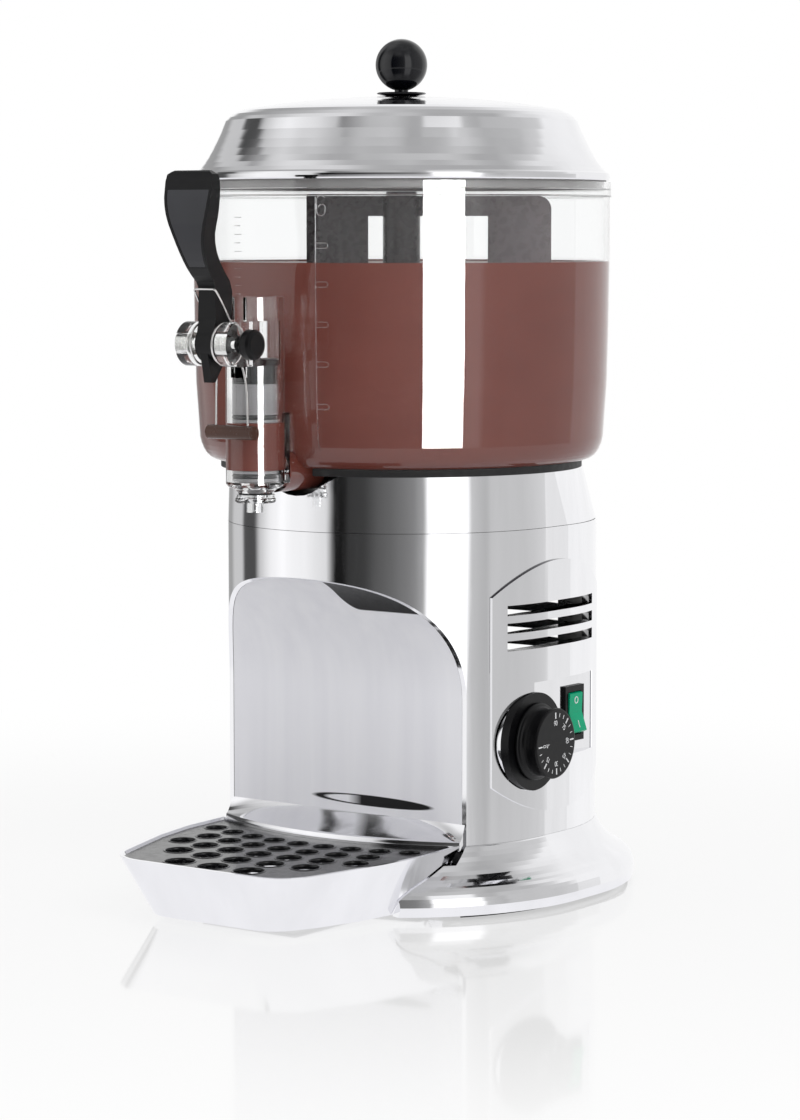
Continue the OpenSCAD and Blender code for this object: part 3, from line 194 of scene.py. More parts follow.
seen = wire(tree, "ShaderNodeMixShader", {0: fading, 1: lit.outputs[0], 2: mirror.outputs[0]})
both = wire(tree, "ShaderNodeMixShader", {0: path.outputs["Is Camera Ray"], 1: matt.outputs[0],
                                          2: seen.outputs[0]})
tree.links.new(both.outputs[0], out.inputs["Surface"])
floor_mesh.materials.append(material)
floor.visible_glossy = False
print("floor disc of", 2 * FLOOR_RADIUS, "m")

# %% [markdown]
# ## What the metal mirrors
# Polished metal has hardly any colour of its own: what one sees in it is the studio. A round body shows
# the room as upright bands, so the world is painted as bands round the horizon: white screens, dark gaps
# between them and one bright strip. Higher up the bands melt into a pale ceiling with soft patches, and
# low down into the white table. The eye and clear plastic see plain white, and matt surfaces get an even
# light, so that colours look as they are written.

# %% World bands
BANDS = [  # degrees round from the tap towards the controls, brightness
    (-180, 1.0), (-134.5, 1.0), (-131, 0.38), (-118, 0.36), (-110, 0.62), (-95, 0.62), (-91, 0.08),
    (-77, 0.08), (-72, 0.6), (-60, 0.95), (-50, 1.1), (-30, 1.0), (-14, 0.8), (-9, 0.01), (-2, 0.01),
    (1, 0.04), (12, 0.05), (20, 0.1), (30, 0.15), (44, 0.24), (51, 0.4), (54, 1.5), (79, 1.5), (83, 0.6),
    (93, 0.5), (97, 0.6), (128, 0.62), (143, 0.7), (149, 1.0), (180, 1.0)]
LEVEL_LIGHT = 0.84
world = bpy.data.worlds.new("studio")
bpy.context.scene.world = world
world.use_nodes = True
tree = world.node_tree
tree.nodes.clear()
way = wire(tree, "ShaderNodeTexCoord").outputs["Generated"]
xyz = parts_of(tree, way)
towards_front = maths(tree, "MULTIPLY", xyz["Y"], -1.0)
turn = maths(tree, "ARCTAN2", xyz["X"], towards_front)
share = spread(tree, turn, -math.pi, math.pi)
ramp = wire(tree, "ShaderNodeValToRGB", {"Fac": share})
ramp.color_ramp.interpolation = "LINEAR"
while len(ramp.color_ramp.elements) > 1:
    ramp.color_ramp.elements.remove(ramp.color_ramp.elements[-1])
ramp.color_ramp.elements[0].position = 0
ramp.color_ramp.elements[0].color = (BANDS[0][1],) * 3 + (1,)
for angle, level in BANDS[1:]:
    stop = ramp.color_ramp.elements.new((angle + 180) / 360)
    stop.color = (level, level, level, 1)
print("bands:", len(ramp.color_ramp.elements))

# %% [markdown]
# The ceiling and the table are blended in by the height of the mirrored ray. The light path then chooses
# what each kind of ray sees.

# %% World ceiling, table and light paths
CEILING = (0.46, 0.82)
CEILING_RISE, TABLE_FALL = (0.45, 0.85), (-0.17, -0.3)
TABLE = (0.96, 0.96, 0.98)
patches = wire(tree, "ShaderNodeTexNoise", {"Vector": way, "Scale": 1.7, "Detail": 1.0})
ceiling = spread(tree, patches.outputs["Fac"], 0.38, 0.62, *CEILING)
up = spread(tree, xyz["Z"], *CEILING_RISE, interpolation_type="SMOOTHSTEP")
down = spread(tree, xyz["Z"], *TABLE_FALL, interpolation_type="SMOOTHSTEP")
with_ceiling = colour_between(tree, up, ramp.outputs[0], ceiling)
with_table = colour_between(tree, down, with_ceiling, TABLE)
mirrored = wire(tree, "ShaderNodeBackground", {"Color": with_table, "Strength": 1.0})
even = wire(tree, "ShaderNodeBackground", {"Color": (1, 1, 1, 1), "Strength": LEVEL_LIGHT})
white = wire(tree, "ShaderNodeBackground", {"Color": (1, 1, 1, 1), "Strength": 1.0})
path = wire(tree, "ShaderNodeLightPath")
in_metal = wire(tree, "ShaderNodeMixShader", {0: path.outputs["Is Glossy Ray"], 1: even.outputs[0],
                                              2: mirrored.outputs[0]})
direct = maths(tree, "MAXIMUM", path.outputs["Is Camera Ray"], path.outputs["Is Transmission Ray"])
sky = wire(tree, "ShaderNodeMixShader", {0: direct, 1: in_metal.outputs[0], 2: white.outputs[0]})
out = wire(tree, "ShaderNodeOutputWorld", {"Surface": sky.outputs[0]})
print("world nodes:", len(tree.nodes))

# %% [markdown]
# ## Lamps
# One large soft lamp from above the camera's right gives the matt pieces a gentle shading. Clear plastic
# mirrors only a few percent of the light, so the tall white strip on the bowl and the tap comes from a far
# stronger strip lamp. It is linked to the clear pieces alone, so that it burns nothing else out.


# %% Lamps
def soft_lamp(name, azimuth, height, distance, size, power):
    """A rectangular lamp that faces the machine. Azimuth is in degrees from the tap towards the controls."""
    data = bpy.data.lights.new(name, "AREA")
    data.shape = "RECTANGLE"
    data.size, data.size_y = size
    data.energy = power
    lamp = bpy.data.objects.new(name, data)
    bpy.context.scene.collection.objects.link(lamp)
    a = math.radians(azimuth)
    lamp.location = (distance * math.sin(a), -distance * math.cos(a), height)
    lamp.rotation_euler = (Vector((0, 0, 0.25)) - lamp.location).to_track_quat("-Z", "Y").to_euler()
    lamp.visible_camera = False
    lamp.visible_transmission = False
    return lamp


key = soft_lamp("key_lamp", azimuth=75, height=1.9, distance=2.6, size=(1.6, 1.6), power=14)
key.visible_glossy = False
STRIP_TURN = 58.7
strip = soft_lamp("strip_lamp", azimuth=STRIP_TURN, height=0.9, distance=4.0, size=(1.6, 5.2), power=900)
strip.rotation_euler = (math.pi / 2, 0, math.radians(STRIP_TURN))
strip_lit = bpy.data.collections.new("strip_lit")
strip.light_linking.receiver_collection = strip_lit

# %% [markdown]
# ## Polished aluminium
# The body, collar, lid, foot and tray are cast or spun aluminium, buffed until it mirrors. A buffing wheel
# leaves faint streaks and very shallow waves, which is what tells it from chrome. A metallic shader with a
# low roughness gives the mirror. Stretched noise makes the streaks, and a broad, weak bump the waves.


# %% Polished aluminium
def polished_metal(name, tint, rough, streak, wave, wave_scale=16.0):
    """Metal: rough is its lowest and highest roughness, streak the grain's stretch, wave the bump."""
    material, tree, out = start_material(name)
    place = stretched_place(tree, streak)
    plain = stretched_place(tree, (1, 1, 1))
    tone = noise_between(tree, place, 14.0, 0.0, 1.0)
    shader = wire(tree, "ShaderNodeBsdfPrincipled", {"Metallic": 1.0})
    low = tuple(c * 0.94 for c in tint)
    tree.links.new(colour_between(tree, tone, low, tint), shader.inputs["Base Color"])
    tree.links.new(noise_between(tree, place, 60.0, rough[0], rough[1], 4.0), shader.inputs["Roughness"])
    waves = wire(tree, "ShaderNodeTexNoise", {"Vector": plain, "Scale": wave_scale, "Detail": 1.0})
    bump = wire(tree, "ShaderNodeBump", {"Height": waves.outputs["Fac"], "Strength": 1.0, "Distance": wave})
    tree.links.new(bump.outputs[0], shader.inputs["Normal"])
    tree.links.new(shader.outputs[0], out.inputs["Surface"])
    return material


mirror_body = polished_metal("buffed_body", (0.90, 0.90, 0.92), (0.05, 0.11), (6, 6, 0.5), 0.00012)
mirror_panel = polished_metal("buffed_panel", (0.90, 0.90, 0.92), (0.05, 0.11), (6, 6, 0.5), 0.00012)
mirror_lid = polished_metal("buffed_lid", (0.86, 0.86, 0.88), (0.05, 0.12), (2, 2, 2), 0.0004, 12.0)
mirror_foot = polished_metal("buffed_foot", (0.9, 0.9, 0.92), (0.05, 0.1), (3, 3, 1), 0.0002)
sheet_steel = polished_metal("sheet_steel", (0.6, 0.6, 0.6), (0.25, 0.4), (1, 1, 6), 0.0001)
dark_steel = polished_metal("dark_steel", (0.2, 0.2, 0.21), (0.3, 0.45), (1, 1, 1), 0.0002)
screw_steel = polished_metal("screw_steel", (0.62, 0.62, 0.6), (0.2, 0.35), (1, 1, 1), 0.00005)
wire_steel = polished_metal("wire_steel", (0.72, 0.71, 0.7), (0.15, 0.25), (1, 1, 1), 0.00003)
brass = polished_metal("brass", (0.72, 0.53, 0.25), (0.2, 0.35), (1, 1, 1), 0.0001)
copper = polished_metal("copper", (0.75, 0.4, 0.27), (0.2, 0.35), (1, 1, 1), 0.0001)
# Inside the panel's slots the buffed tint is painted dark as shade: all that is deeper than the panel's
# sheet or faces up or down, above the recess. The panel's sheet is round, and flat between SIDE_START and
# SIDE_END.
SIDE_START, SIDE_END, SHEET_R, RECESS_TOP, FACES_UP = 0.0, 0.024, 0.1052, 0.14, 0.5
tree = mirror_panel.node_tree
spot = parts_of(tree, own_place(tree))
nearest = wire(tree, "ShaderNodeClamp", {"Value": spot["Y"], "Min": SIDE_START, "Max": SIDE_END})
along = maths(tree, "SUBTRACT", spot["Y"], nearest.outputs[0])
deep = maths(tree, "LESS_THAN", length_of(tree, flat_vector(tree, spot["X"], along)), SHEET_R)
steep = maths(tree, "ABSOLUTE", parts_of(tree, wire(tree, "ShaderNodeNewGeometry").outputs["Normal"])["Z"])
inside = maths(tree, "MAXIMUM", deep, maths(tree, "GREATER_THAN", steep, FACES_UP))
# Painted shade: the slots' inside, only above the recess, takes the dark grey colour below in place of the
# buffed tint.
dark = maths(tree, "MULTIPLY", inside, maths(tree, "GREATER_THAN", spot["Z"], RECESS_TOP))
buffed = main_shader(tree).inputs["Base Color"].links[0].from_socket
tree.links.new(colour_between(tree, dark, buffed, srgb(70, 68, 74)), main_shader(tree).inputs["Base Color"])
print("metals:", [m.name for m in bpy.data.materials if m.users == 0][:12])

# %% [markdown]
# ## The niche's satin liner
# The liner is satin sheet, so it shows the room only as an even grey with faint upright streaks. What is
# black and near is painted in as crisp dark reflections: the tap's underside as a flame at the top of its
# right half, and the grid as a flat lens at its foot, hollow at its left end. Both painted reflections are
# drawn by their place on the sheet.

# %% Satin liner
FLAME_CORNER, FLAME_R, FLAME_BLUR = (0.027, 0.186), 0.0102, 0.0006
LENS_X, LENS_Z = (-0.026, 0.066), (0.0556, 0.0624)
HOLLOW_FROM, HOLLOW_TO = 0.012, 0.002
satin_liner, tree, out = start_material("satin_liner")
streaks = noise_between(tree, stretched_place(tree, (9, 9, 0.4)), 8.0, 0.0, 1.0)
pale = colour_between(tree, streaks, (0.86, 0.86, 0.91), (0.93, 0.93, 0.97))
spot = parts_of(tree, own_place(tree))
left_of = maths(tree, "SUBTRACT", FLAME_CORNER[0], spot["X"], use_clamp=True)
under = maths(tree, "SUBTRACT", FLAME_CORNER[1], spot["Z"], use_clamp=True)
flame = spread(tree, length_of(tree, flat_vector(tree, left_of, under)), FLAME_R + FLAME_BLUR, FLAME_R)
lens_x = spread(tree, spot["X"], *LENS_X, -1.0, 1.0, clamp=False)
lens_z = spread(tree, spot["Z"], *LENS_Z, -1.0, 1.0, clamp=False)
off_lens = length_of(tree, flat_vector(tree, lens_x, lens_z))
lens = spread(tree, off_lens, 1.0, 0.9)
hollow = spread(tree, off_lens, 0.8, 0.7)
left_end = spread(tree, spot["X"], HOLLOW_FROM, HOLLOW_TO)
lens_reflection = maths(tree, "SUBTRACT", lens, maths(tree, "MULTIPLY", hollow, left_end))
# Painted reflections: the tap's flame and the grid's lens turn the liner near black.
black = maths(tree, "MAXIMUM", flame, lens_reflection)
shader = wire(tree, "ShaderNodeBsdfPrincipled", {
    "Base Color": colour_between(tree, black, pale, srgb(9, 9, 12)), "Specular IOR Level": 0.3,
    "Roughness": noise_between(tree, stretched_place(tree, (5, 5, 0.4)), 60.0, 0.3, 0.4)})
tree.links.new(shader.outputs[0], out.inputs["Surface"])
print("satin liner nodes:", len(tree.nodes))

# %% [markdown]
# ## Moulded plastics and rubber
# Black moulded plastic comes out of a polished or a spark-eroded mould, so it is either glossy or has a
# fine grain. Both are one shader with a small noise in its roughness and bump.


# %% Moulded plastic
def moulded(name, dark, light, rough, grain=0.00004, grain_scale=900.0, shine=0.5):
    """Opaque plastic between two colours, with a fine moulded grain. Shine is how much it mirrors."""
    material, tree, out = start_material(name)
    plain = stretched_place(tree, (1, 1, 1))
    shader = wire(tree, "ShaderNodeBsdfPrincipled", {"IOR": 1.5, "Specular IOR Level": shine})
    tone = noise_between(tree, plain, 35.0, 0.0, 1.0)
    tree.links.new(colour_between(tree, tone, dark, light), shader.inputs["Base Color"])
    tree.links.new(noise_between(tree, plain, 240.0, rough[0], rough[1]), shader.inputs["Roughness"])
    fine = wire(tree, "ShaderNodeTexNoise", {"Vector": plain, "Scale": grain_scale, "Detail": 2.0})
    bump = wire(tree, "ShaderNodeBump", {"Height": fine.outputs["Fac"], "Strength": 0.6, "Distance": grain})
    tree.links.new(bump.outputs[0], shader.inputs["Normal"])
    tree.links.new(shader.outputs[0], out.inputs["Surface"])
    return material


black_gloss = moulded("black_gloss", srgb(8, 9, 14), srgb(14, 15, 20), (0.06, 0.14), 0.000004)
black_satin = moulded("black_satin", srgb(5, 5, 7), srgb(10, 10, 12), (0.3, 0.4), shine=0.22)
black_rubber = moulded("black_rubber", srgb(12, 12, 13), srgb(22, 22, 23), (0.5, 0.65))
grid_black = moulded("grid_black", srgb(10, 10, 12), srgb(20, 20, 22), (0.14, 0.26), 0.00001)
green_plastic = moulded("green_plastic", srgb(0, 150, 108), srgb(0, 162, 118), (0.16, 0.26), 0.00001,
                        shine=0.15)
brown_plastic = moulded("brown_plastic", srgb(66, 42, 34), srgb(80, 54, 44), (0.2, 0.3), 0.00001, shine=0.3)
grey_plastic = moulded("grey_plastic", srgb(128, 126, 128), srgb(152, 150, 152), (0.3, 0.4))
stirrer_plastic = moulded("stirrer_plastic", srgb(52, 44, 44), srgb(66, 57, 56), (0.22, 0.34), 0.00001)
ivory_plastic = moulded("ivory_plastic", srgb(205, 198, 180), srgb(222, 215, 196), (0.35, 0.45))
seal_grey = moulded("seal_grey", srgb(126, 124, 124), srgb(146, 144, 144), (0.4, 0.5))
white_print = moulded("white_print", srgb(225, 226, 228), srgb(240, 240, 242), (0.4, 0.5))
# The stirrer's colour carries painted light and shade: dark on the far side and paler towards the side that
# faces the windowed end of the studio.
WINDOW_SIDE, PALER_FROM, PALER_TO = (0.809, 0.588, 0.0), 0.02, 0.06
tree = stirrer_plastic.node_tree
across = wire(tree, "ShaderNodeVectorMath", {0: own_place(tree), 1: WINDOW_SIDE}, operation="DOT_PRODUCT")
window_lit_side = spread(tree, across.outputs["Value"], PALER_FROM, PALER_TO)
tree.links.new(colour_between(tree, window_lit_side, srgb(44, 35, 38), srgb(100, 89, 92)),
               main_shader(tree).inputs["Base Color"])
print("plastics ready")

# %% [markdown]
# ## Clear plastic
# The bowl and the tap are clear moulded plastic. A refracting shader shows their wall thickness and edges.
# Lamps can't reach through refraction quickly, so rays that only carry light pass straight through.


# %% Clear plastic
def clear_plastic(name, tint, rough):
    """See-through plastic that bends what the eye sees and lets light rays pass straight on."""
    material, tree, out = start_material(name)
    plain = stretched_place(tree, (1, 1, 1))
    shader = wire(tree, "ShaderNodeBsdfPrincipled", {"Base Color": (*tint, 1), "IOR": 1.49,
                                                     "Transmission Weight": 1.0})
    tree.links.new(noise_between(tree, plain, 90.0, rough[0], rough[1]), shader.inputs["Roughness"])
    through = wire(tree, "ShaderNodeBsdfTransparent", {"Color": (*tint, 1)})
    path = wire(tree, "ShaderNodeLightPath")
    light = maths(tree, "MAXIMUM", path.outputs["Is Shadow Ray"], path.outputs["Is Diffuse Ray"])
    mix = wire(tree, "ShaderNodeMixShader", {0: light, 1: shader.outputs[0], 2: through.outputs[0]})
    tree.links.new(mix.outputs[0], out.inputs["Surface"])
    return material


clear_bowl = clear_plastic("clear_bowl", (0.975, 0.98, 0.98), (0.0, 0.03))
clear_tap = clear_plastic("clear_tap", (0.96, 0.965, 0.965), (0.0, 0.04))
print("clear plastic ready")

# %% [markdown]
# ## Chocolate
# Thick drinking chocolate is an opaque, slightly milky liquid. Its colour drifts softly where the stirrer
# has dragged it round, so the noise is stretched flat.

# %% Chocolate finish
material, tree, out = start_material("chocolate")
flat = stretched_place(tree, (1, 1, 2.5))
shader = wire(tree, "ShaderNodeBsdfPrincipled", {"IOR": 1.4, "Subsurface Weight": 0.15,
                                                 "Subsurface Radius": (0.006, 0.002, 0.001)})
tone = noise_between(tree, flat, 9.0, 0.0, 1.0)
tree.links.new(colour_between(tree, tone, srgb(108, 54, 45), srgb(118, 62, 52)), shader.inputs["Base Color"])
tree.links.new(noise_between(tree, flat, 30.0, 0.28, 0.4), shader.inputs["Roughness"])
tree.links.new(shader.outputs[0], out.inputs["Surface"])
chocolate = material
print("chocolate ready")

# %% [markdown]
# ## Finishes for the CAD pieces
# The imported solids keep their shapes, and each one gets the finish of its real piece through its own
# material slots. A list keeps the choice of finish for all of them in one place.

# %% Dress the CAD pieces
DRESS = {
    mirror_body: ["housing", "collar"],
    mirror_panel: ["control_panel"],
    mirror_lid: ["lid"],
    mirror_foot: ["foot_skirt", "splash_ledge", "drip_tray"],
    satin_liner: ["niche_liner"],
    sheet_steel: ["top_deck", "water_tank", "rear_cover", "motor_bracket"],
    dark_steel: ["bottom_plate", "gearbox", "gear_motor", "heating_element"],
    screw_steel: ["ring_screws", "bracket_screws", "rear_cover_screws", "lid_screw", "pin_clip", "lever_pin",
                  "drive_shaft"],
    wire_steel: ["tap_spring"],
    brass: ["tank_tube_bush"],
    copper: ["sensing_bulb"],
    black_gloss: ["ball_knob", "knob_dish", "lever_panel"],
    black_satin: ["tap_lever", "pin_knob", "dial_bezel", "dial_knob", "switch_frame", "piston_cap"],
    seal_grey: ["lid_ring"],
    black_rubber: ["rubber_ring", "bowl_gasket", "shaft_seal", "nozzle_washer", "piston_seals",
                   "cable_gland"],
    grid_black: ["drip_grid"],
    green_plastic: ["switch_rocker"],
    brown_plastic: ["spring_sleeve"],
    grey_plastic: ["tap_piston"],
    stirrer_plastic: ["stirrer", "stirrer_cap"],
    ivory_plastic: ["terminal_block", "thermostat_body", "safety_thermostat"],
    clear_bowl: ["bowl"],
    clear_tap: ["tap_barrel", "tap_nozzle"],
}
for finish, names in DRESS.items():
    for name in names:
        NODES[name].data.materials.clear()
        NODES[name].data.materials.append(finish)
for name in DRESS[clear_bowl] + DRESS[clear_tap] + ["lever_panel"]:
    strip_lit.objects.link(NODES[name])
print("dressed:", sum(len(v) for v in DRESS.values()), "of", len(NODES))


# %% [markdown]
# ## Smooth shading over small flats
# A few CAD solids are hulls, whose round corners come as narrow flats. On a mirror finish every flat shows.
# This modifier keeps the mesh as it is and only shades across the edges that bend less than a given angle.


# %% Smooth shading
def shade_across(name, degrees):
    """Shades a CAD piece smoothly across its shallow edges."""
    group = bpy.data.node_groups.new("shade_" + name, "GeometryNodeTree")
    group.interface.new_socket("Geometry", in_out="INPUT", socket_type="NodeSocketGeometry")
    group.interface.new_socket("Geometry", in_out="OUTPUT", socket_type="NodeSocketGeometry")
    start = group.nodes.new("NodeGroupInput")
    end = group.nodes.new("NodeGroupOutput")
    own = wire(group, "GeometryNodeRemoveAttribute", {"Geometry": start.outputs[0], "Name": "custom_normal"})
    joined = wire(group, "GeometryNodeMergeByDistance", {"Geometry": own.outputs[0], "Distance": 0.000002})
    faces = wire(group, "GeometryNodeSetShadeSmooth", {"Geometry": joined.outputs[0], "Shade Smooth": True},
                 domain="FACE")
    bend = wire(group, "GeometryNodeInputMeshEdgeAngle")
    shallow = wire(group, "FunctionNodeCompare", {0: bend.outputs["Unsigned Angle"],
                                                  1: math.radians(degrees)},
                   data_type="FLOAT", operation="LESS_THAN")
    edges = wire(group, "GeometryNodeSetShadeSmooth", {"Geometry": faces.outputs[0],
                                                       "Shade Smooth": shallow.outputs[0]}, domain="EDGE")
    group.links.new(edges.outputs[0], end.inputs[0])
    NODES[name].modifiers.new("shade_across", "NODES").node_group = group


shade_across("drip_tray", 24)
print("shaded across small flats: drip_tray")

# %% [markdown]
# ## Mesh helpers
# New pieces are built from lists of points. A lathe turns an outline round an upright axis, and a tube
# follows a path. Both return plain meshes with smooth shading that keeps sharp corners sharp.


# %% Mesh helpers
def piece(name, points, faces, finish, body, slot, sharp=35):
    """Makes a mesh object from points in millimetres, dresses it, and lets it ride on a body."""
    mesh = bpy.data.meshes.new(name)
    mesh.from_pydata([tuple(c * MM for c in p) for p in points], [], faces)
    shape = bmesh.new()
    shape.from_mesh(mesh)
    bmesh.ops.remove_doubles(shape, verts=shape.verts, dist=1e-7)
    bmesh.ops.recalc_face_normals(shape, faces=shape.faces)
    for edge in shape.edges:
        edge.smooth = edge.calc_face_angle(0.0) < math.radians(sharp)
    for face in shape.faces:
        face.smooth = True
    shape.to_mesh(mesh)
    shape.free()
    mesh.materials.append(finish)
    made = bpy.data.objects.new(name, mesh)
    bpy.context.scene.collection.objects.link(made)
    if body:
        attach(made, body)
    return made


def lathe(outline, axis=(0, 0), steps=128):
    """Points and faces of a closed outline of (radius, height) turned round an upright axis."""
    n = len(outline)
    points = [(axis[0] + r * math.cos(a), axis[1] + r * math.sin(a), z)
              for a in (2 * math.pi * i / steps for i in range(steps)) for r, z in outline]
    faces = [(i * n + k, ((i + 1) % steps) * n + k, ((i + 1) % steps) * n + (k + 1) % n, i * n + (k + 1) % n)
             for i in range(steps) for k in range(n)]
    return points, faces


def soft_curve(p0, p1, p2, p3, steps):
    """Points of a curve from p0 to p3 that is pulled towards p1 and p2."""
    out = []
    for i in range(steps + 1):
        t = i / steps
        w = ((1 - t) ** 3, 3 * (1 - t) ** 2 * t, 3 * (1 - t) * t ** 2, t ** 3)
        out.append(tuple(sum(wk * pk[j] for wk, pk in zip(w, (p0, p1, p2, p3))) for j in range(len(p0))))
    return out


def tube(path, radius, sides=12):
    """Points and faces of a round wire along a path, closed at both ends."""
    spots = [Vector(p) for p in path]
    normal = Vector((0, 1, 0))
    points, faces = [], []
    for i, spot in enumerate(spots):
        ahead = (spots[min(i + 1, len(spots) - 1)] - spots[max(i - 1, 0)]).normalized()
        normal = (normal - ahead * normal.dot(ahead)).normalized()
        side = ahead.cross(normal)
        points += [tuple(spot + radius * (math.cos(a) * normal + math.sin(a) * side))
                   for a in (2 * math.pi * k / sides for k in range(sides))]
    for i in range(len(spots) - 1):
        faces += [(i * sides + k, i * sides + (k + 1) % sides, (i + 1) * sides + (k + 1) % sides,
                   (i + 1) * sides + k) for k in range(sides)]
    faces += [tuple(range(sides)), tuple(range((len(spots) - 1) * sides, len(spots) * sides))]
    return points, faces


print("mesh helpers ready")

# %% [markdown]
# ## Splash ledge
# At the foot of the niche the sheet sweeps forward to the tray in one soft cove. The CAD ledge has the same
# edges with straight flanks between them. This piece takes its place with the curve in it.

# %% Splash ledge
LEDGE_HALF_W, LEDGE_FOOT_HALF_W, NICHE_Y = 87.0, 78.0, -57.0
LEDGE_TOP, LEDGE_LOW, LEDGE_R, LEDGE_CENTRE_Y = 51.5, 42.0, 190.0, 106.5
COVE = 0.4


def front_edge(x):
    """Where the ledge's front lies at a place across the machine."""
    return LEDGE_CENTRE_Y - math.sqrt(LEDGE_R ** 2 - x * x)


def ledge_section(x):
    """The ledge's cross-section at x: up the wall, down the cove, round the front edge and back."""
    front = front_edge(x)
    section = [(NICHE_Y, 37.0), (NICHE_Y, LEDGE_TOP)]
    for k in range(1, 17):
        t = k / 16
        a = t * math.pi / 2
        y = (1 - COVE) * t + COVE * (1 - math.cos(a))
        z = (1 - COVE) * t + COVE * math.sin(a)
        section.append((NICHE_Y + (front + 0.8 - NICHE_Y) * y, LEDGE_TOP + (LEDGE_LOW - LEDGE_TOP) * z))
    section += [(front + 0.3, LEDGE_LOW - 0.2), (front, LEDGE_LOW - 0.8), (front, 37.0)]
    return [(x, y, z) for y, z in section]


def swept(sections):
    """Points and faces of a solid through a row of equal cross-sections, closed at both ends."""
    n = len(sections[0])
    faces = [(i * n + k, i * n + (k + 1) % n, (i + 1) * n + (k + 1) % n, (i + 1) * n + k)
             for i in range(len(sections) - 1) for k in range(n)]
    faces += [tuple(range(n)), tuple(range((len(sections) - 1) * n, len(sections) * n))]
    return [p for section in sections for p in section], faces


top_points, top_faces = swept([ledge_section(LEDGE_HALF_W * i / 40) for i in range(-40, 41)])
foot_points, foot_faces = swept([[(x, NICHE_Y, 4.3), (x, NICHE_Y, 39.0), (x, front_edge(x), 39.0),
                                  (x, front_edge(x), 4.3)]
                                 for x in (LEDGE_FOOT_HALF_W * i / 24 for i in range(-24, 25))])
ledge = piece("splash_ledge_cove", top_points + foot_points,
              top_faces + [tuple(len(top_points) + k for k in face) for face in foot_faces],
              mirror_foot, "base", "polished_metal")
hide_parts("splash_ledge")
print("ledge points:", len(ledge.data.vertices))

# %% [markdown]
# ## The chocolate in the bowl
# The liquid takes the shape of the bowl's inside, up to a level between the fourth and the fifth litre.
# It reaches a hair's breadth into the wall, as a liquid that wets plastic does, so that no film of air
# shines between them. At the wall the level creeps up a little.

# %% Chocolate in the bowl
LEVEL = 376.8
FLOOR_Z = 262.8
WET = 0.15
CHIMNEY_R = 8.1
wall_line = soft_curve((107, FLOOR_Z), (113, FLOOR_Z + 0.4), (117, FLOOR_Z + 3), (118.6, FLOOR_Z + 13), 8)
wall_line += [(120.8, 305.8), (121.5, 335.8), (121.95, 365)]
outline = [(CHIMNEY_R, FLOOR_Z - WET)]
outline += [(r + WET, z - (WET if z < FLOOR_Z + 3 else 0)) for r, z in wall_line]
outline += [(122.15, LEVEL + 1.3), (121.6, LEVEL + 0.6), (120.6, LEVEL + 0.15), (118, LEVEL)]
outline += [(r, LEVEL + 0.25 * math.sin(r / 7)) for r in range(112, 14, -8)]
outline += [(CHIMNEY_R, LEVEL)]
piece("chocolate_in_bowl", *lathe(outline), chocolate, "bowl_unit", "brown_plastic")
print("chocolate outline points:", len(outline))

# %% [markdown]
# ## Chocolate on its way out
# Chocolate also stands in the outlet channel under the floor and between the two seals of the tap's piston.
# Both are plain turned shapes, a hair wider than their bores. The slug between the seals rides on the
# piston, because the seals carry it.

# %% Chocolate in the channel and the tap
TAP_Y = -142.1
BORE_R = 13.3
CHANNEL_Z, CHANNEL_BORE_R = 259.3, 10.0
STEM_R = 6.0


def lying_rod(outline, x, z, steps=64):
    """Points and faces of a closed outline of (radius, y) turned round a level axis along Y."""
    points, faces = lathe(outline, (0, 0), steps)
    return [(x + p[0], p[2], z + p[1]) for p in points], faces


piece("chocolate_in_channel", *lying_rod([(0, -125.2), (CHANNEL_BORE_R + 0.05, -125.2),
                                          (CHANNEL_BORE_R + 0.05, -90.4), (0, -90.4)], 0, CHANNEL_Z),
      chocolate, "bowl_unit", "brown_plastic")
piece("chocolate_in_tap", *lathe([(STEM_R + 0.05, 260.4), (BORE_R + 0.05, 260.4), (BORE_R + 0.05, 287.2),
                                  (BORE_R - 0.4, 287.6), (STEM_R + 0.4, 287.6), (STEM_R + 0.05, 287.2)],
                                 (0, TAP_Y), 64), chocolate, "piston_unit", "brown_plastic")

# %% [markdown]
# ## The lever's spring
# One wire comes up from the brown sleeve on each side, winds a little over one turn beside the hub, and
# crosses in front of the lever as a bar. The CAD spring has few sides, so the same path is swept again with
# a smooth round wire.

# %% Spring wire
PIN_Y, PIN_Z = -178.6, 333.1
SLEEVE_Y, SLEEVE_Z = -163.2, 282.7
COIL_R, COIL_X, COIL_PITCH, COIL_TURNS, COIL_START = 11.8, 6.65, 1.65, 1.14, -8
WIRE_D = 1.2


def rounded_path(corners, steps=6):
    """A curve that passes through all the given points."""
    spots = [Vector(c) for c in corners]
    path = []
    for i in range(len(spots) - 1):
        a, b, c, d = spots[max(i - 1, 0)], spots[i], spots[i + 1], spots[min(i + 2, len(spots) - 1)]
        for k in range(steps):
            t = k / steps
            path.append(0.5 * (2 * b + (c - a) * t + (2 * a - 5 * b + 4 * c - d) * t * t
                               + (3 * b - a - 3 * c + d) * t ** 3))
    return [tuple(p) for p in path] + [tuple(spots[-1])]


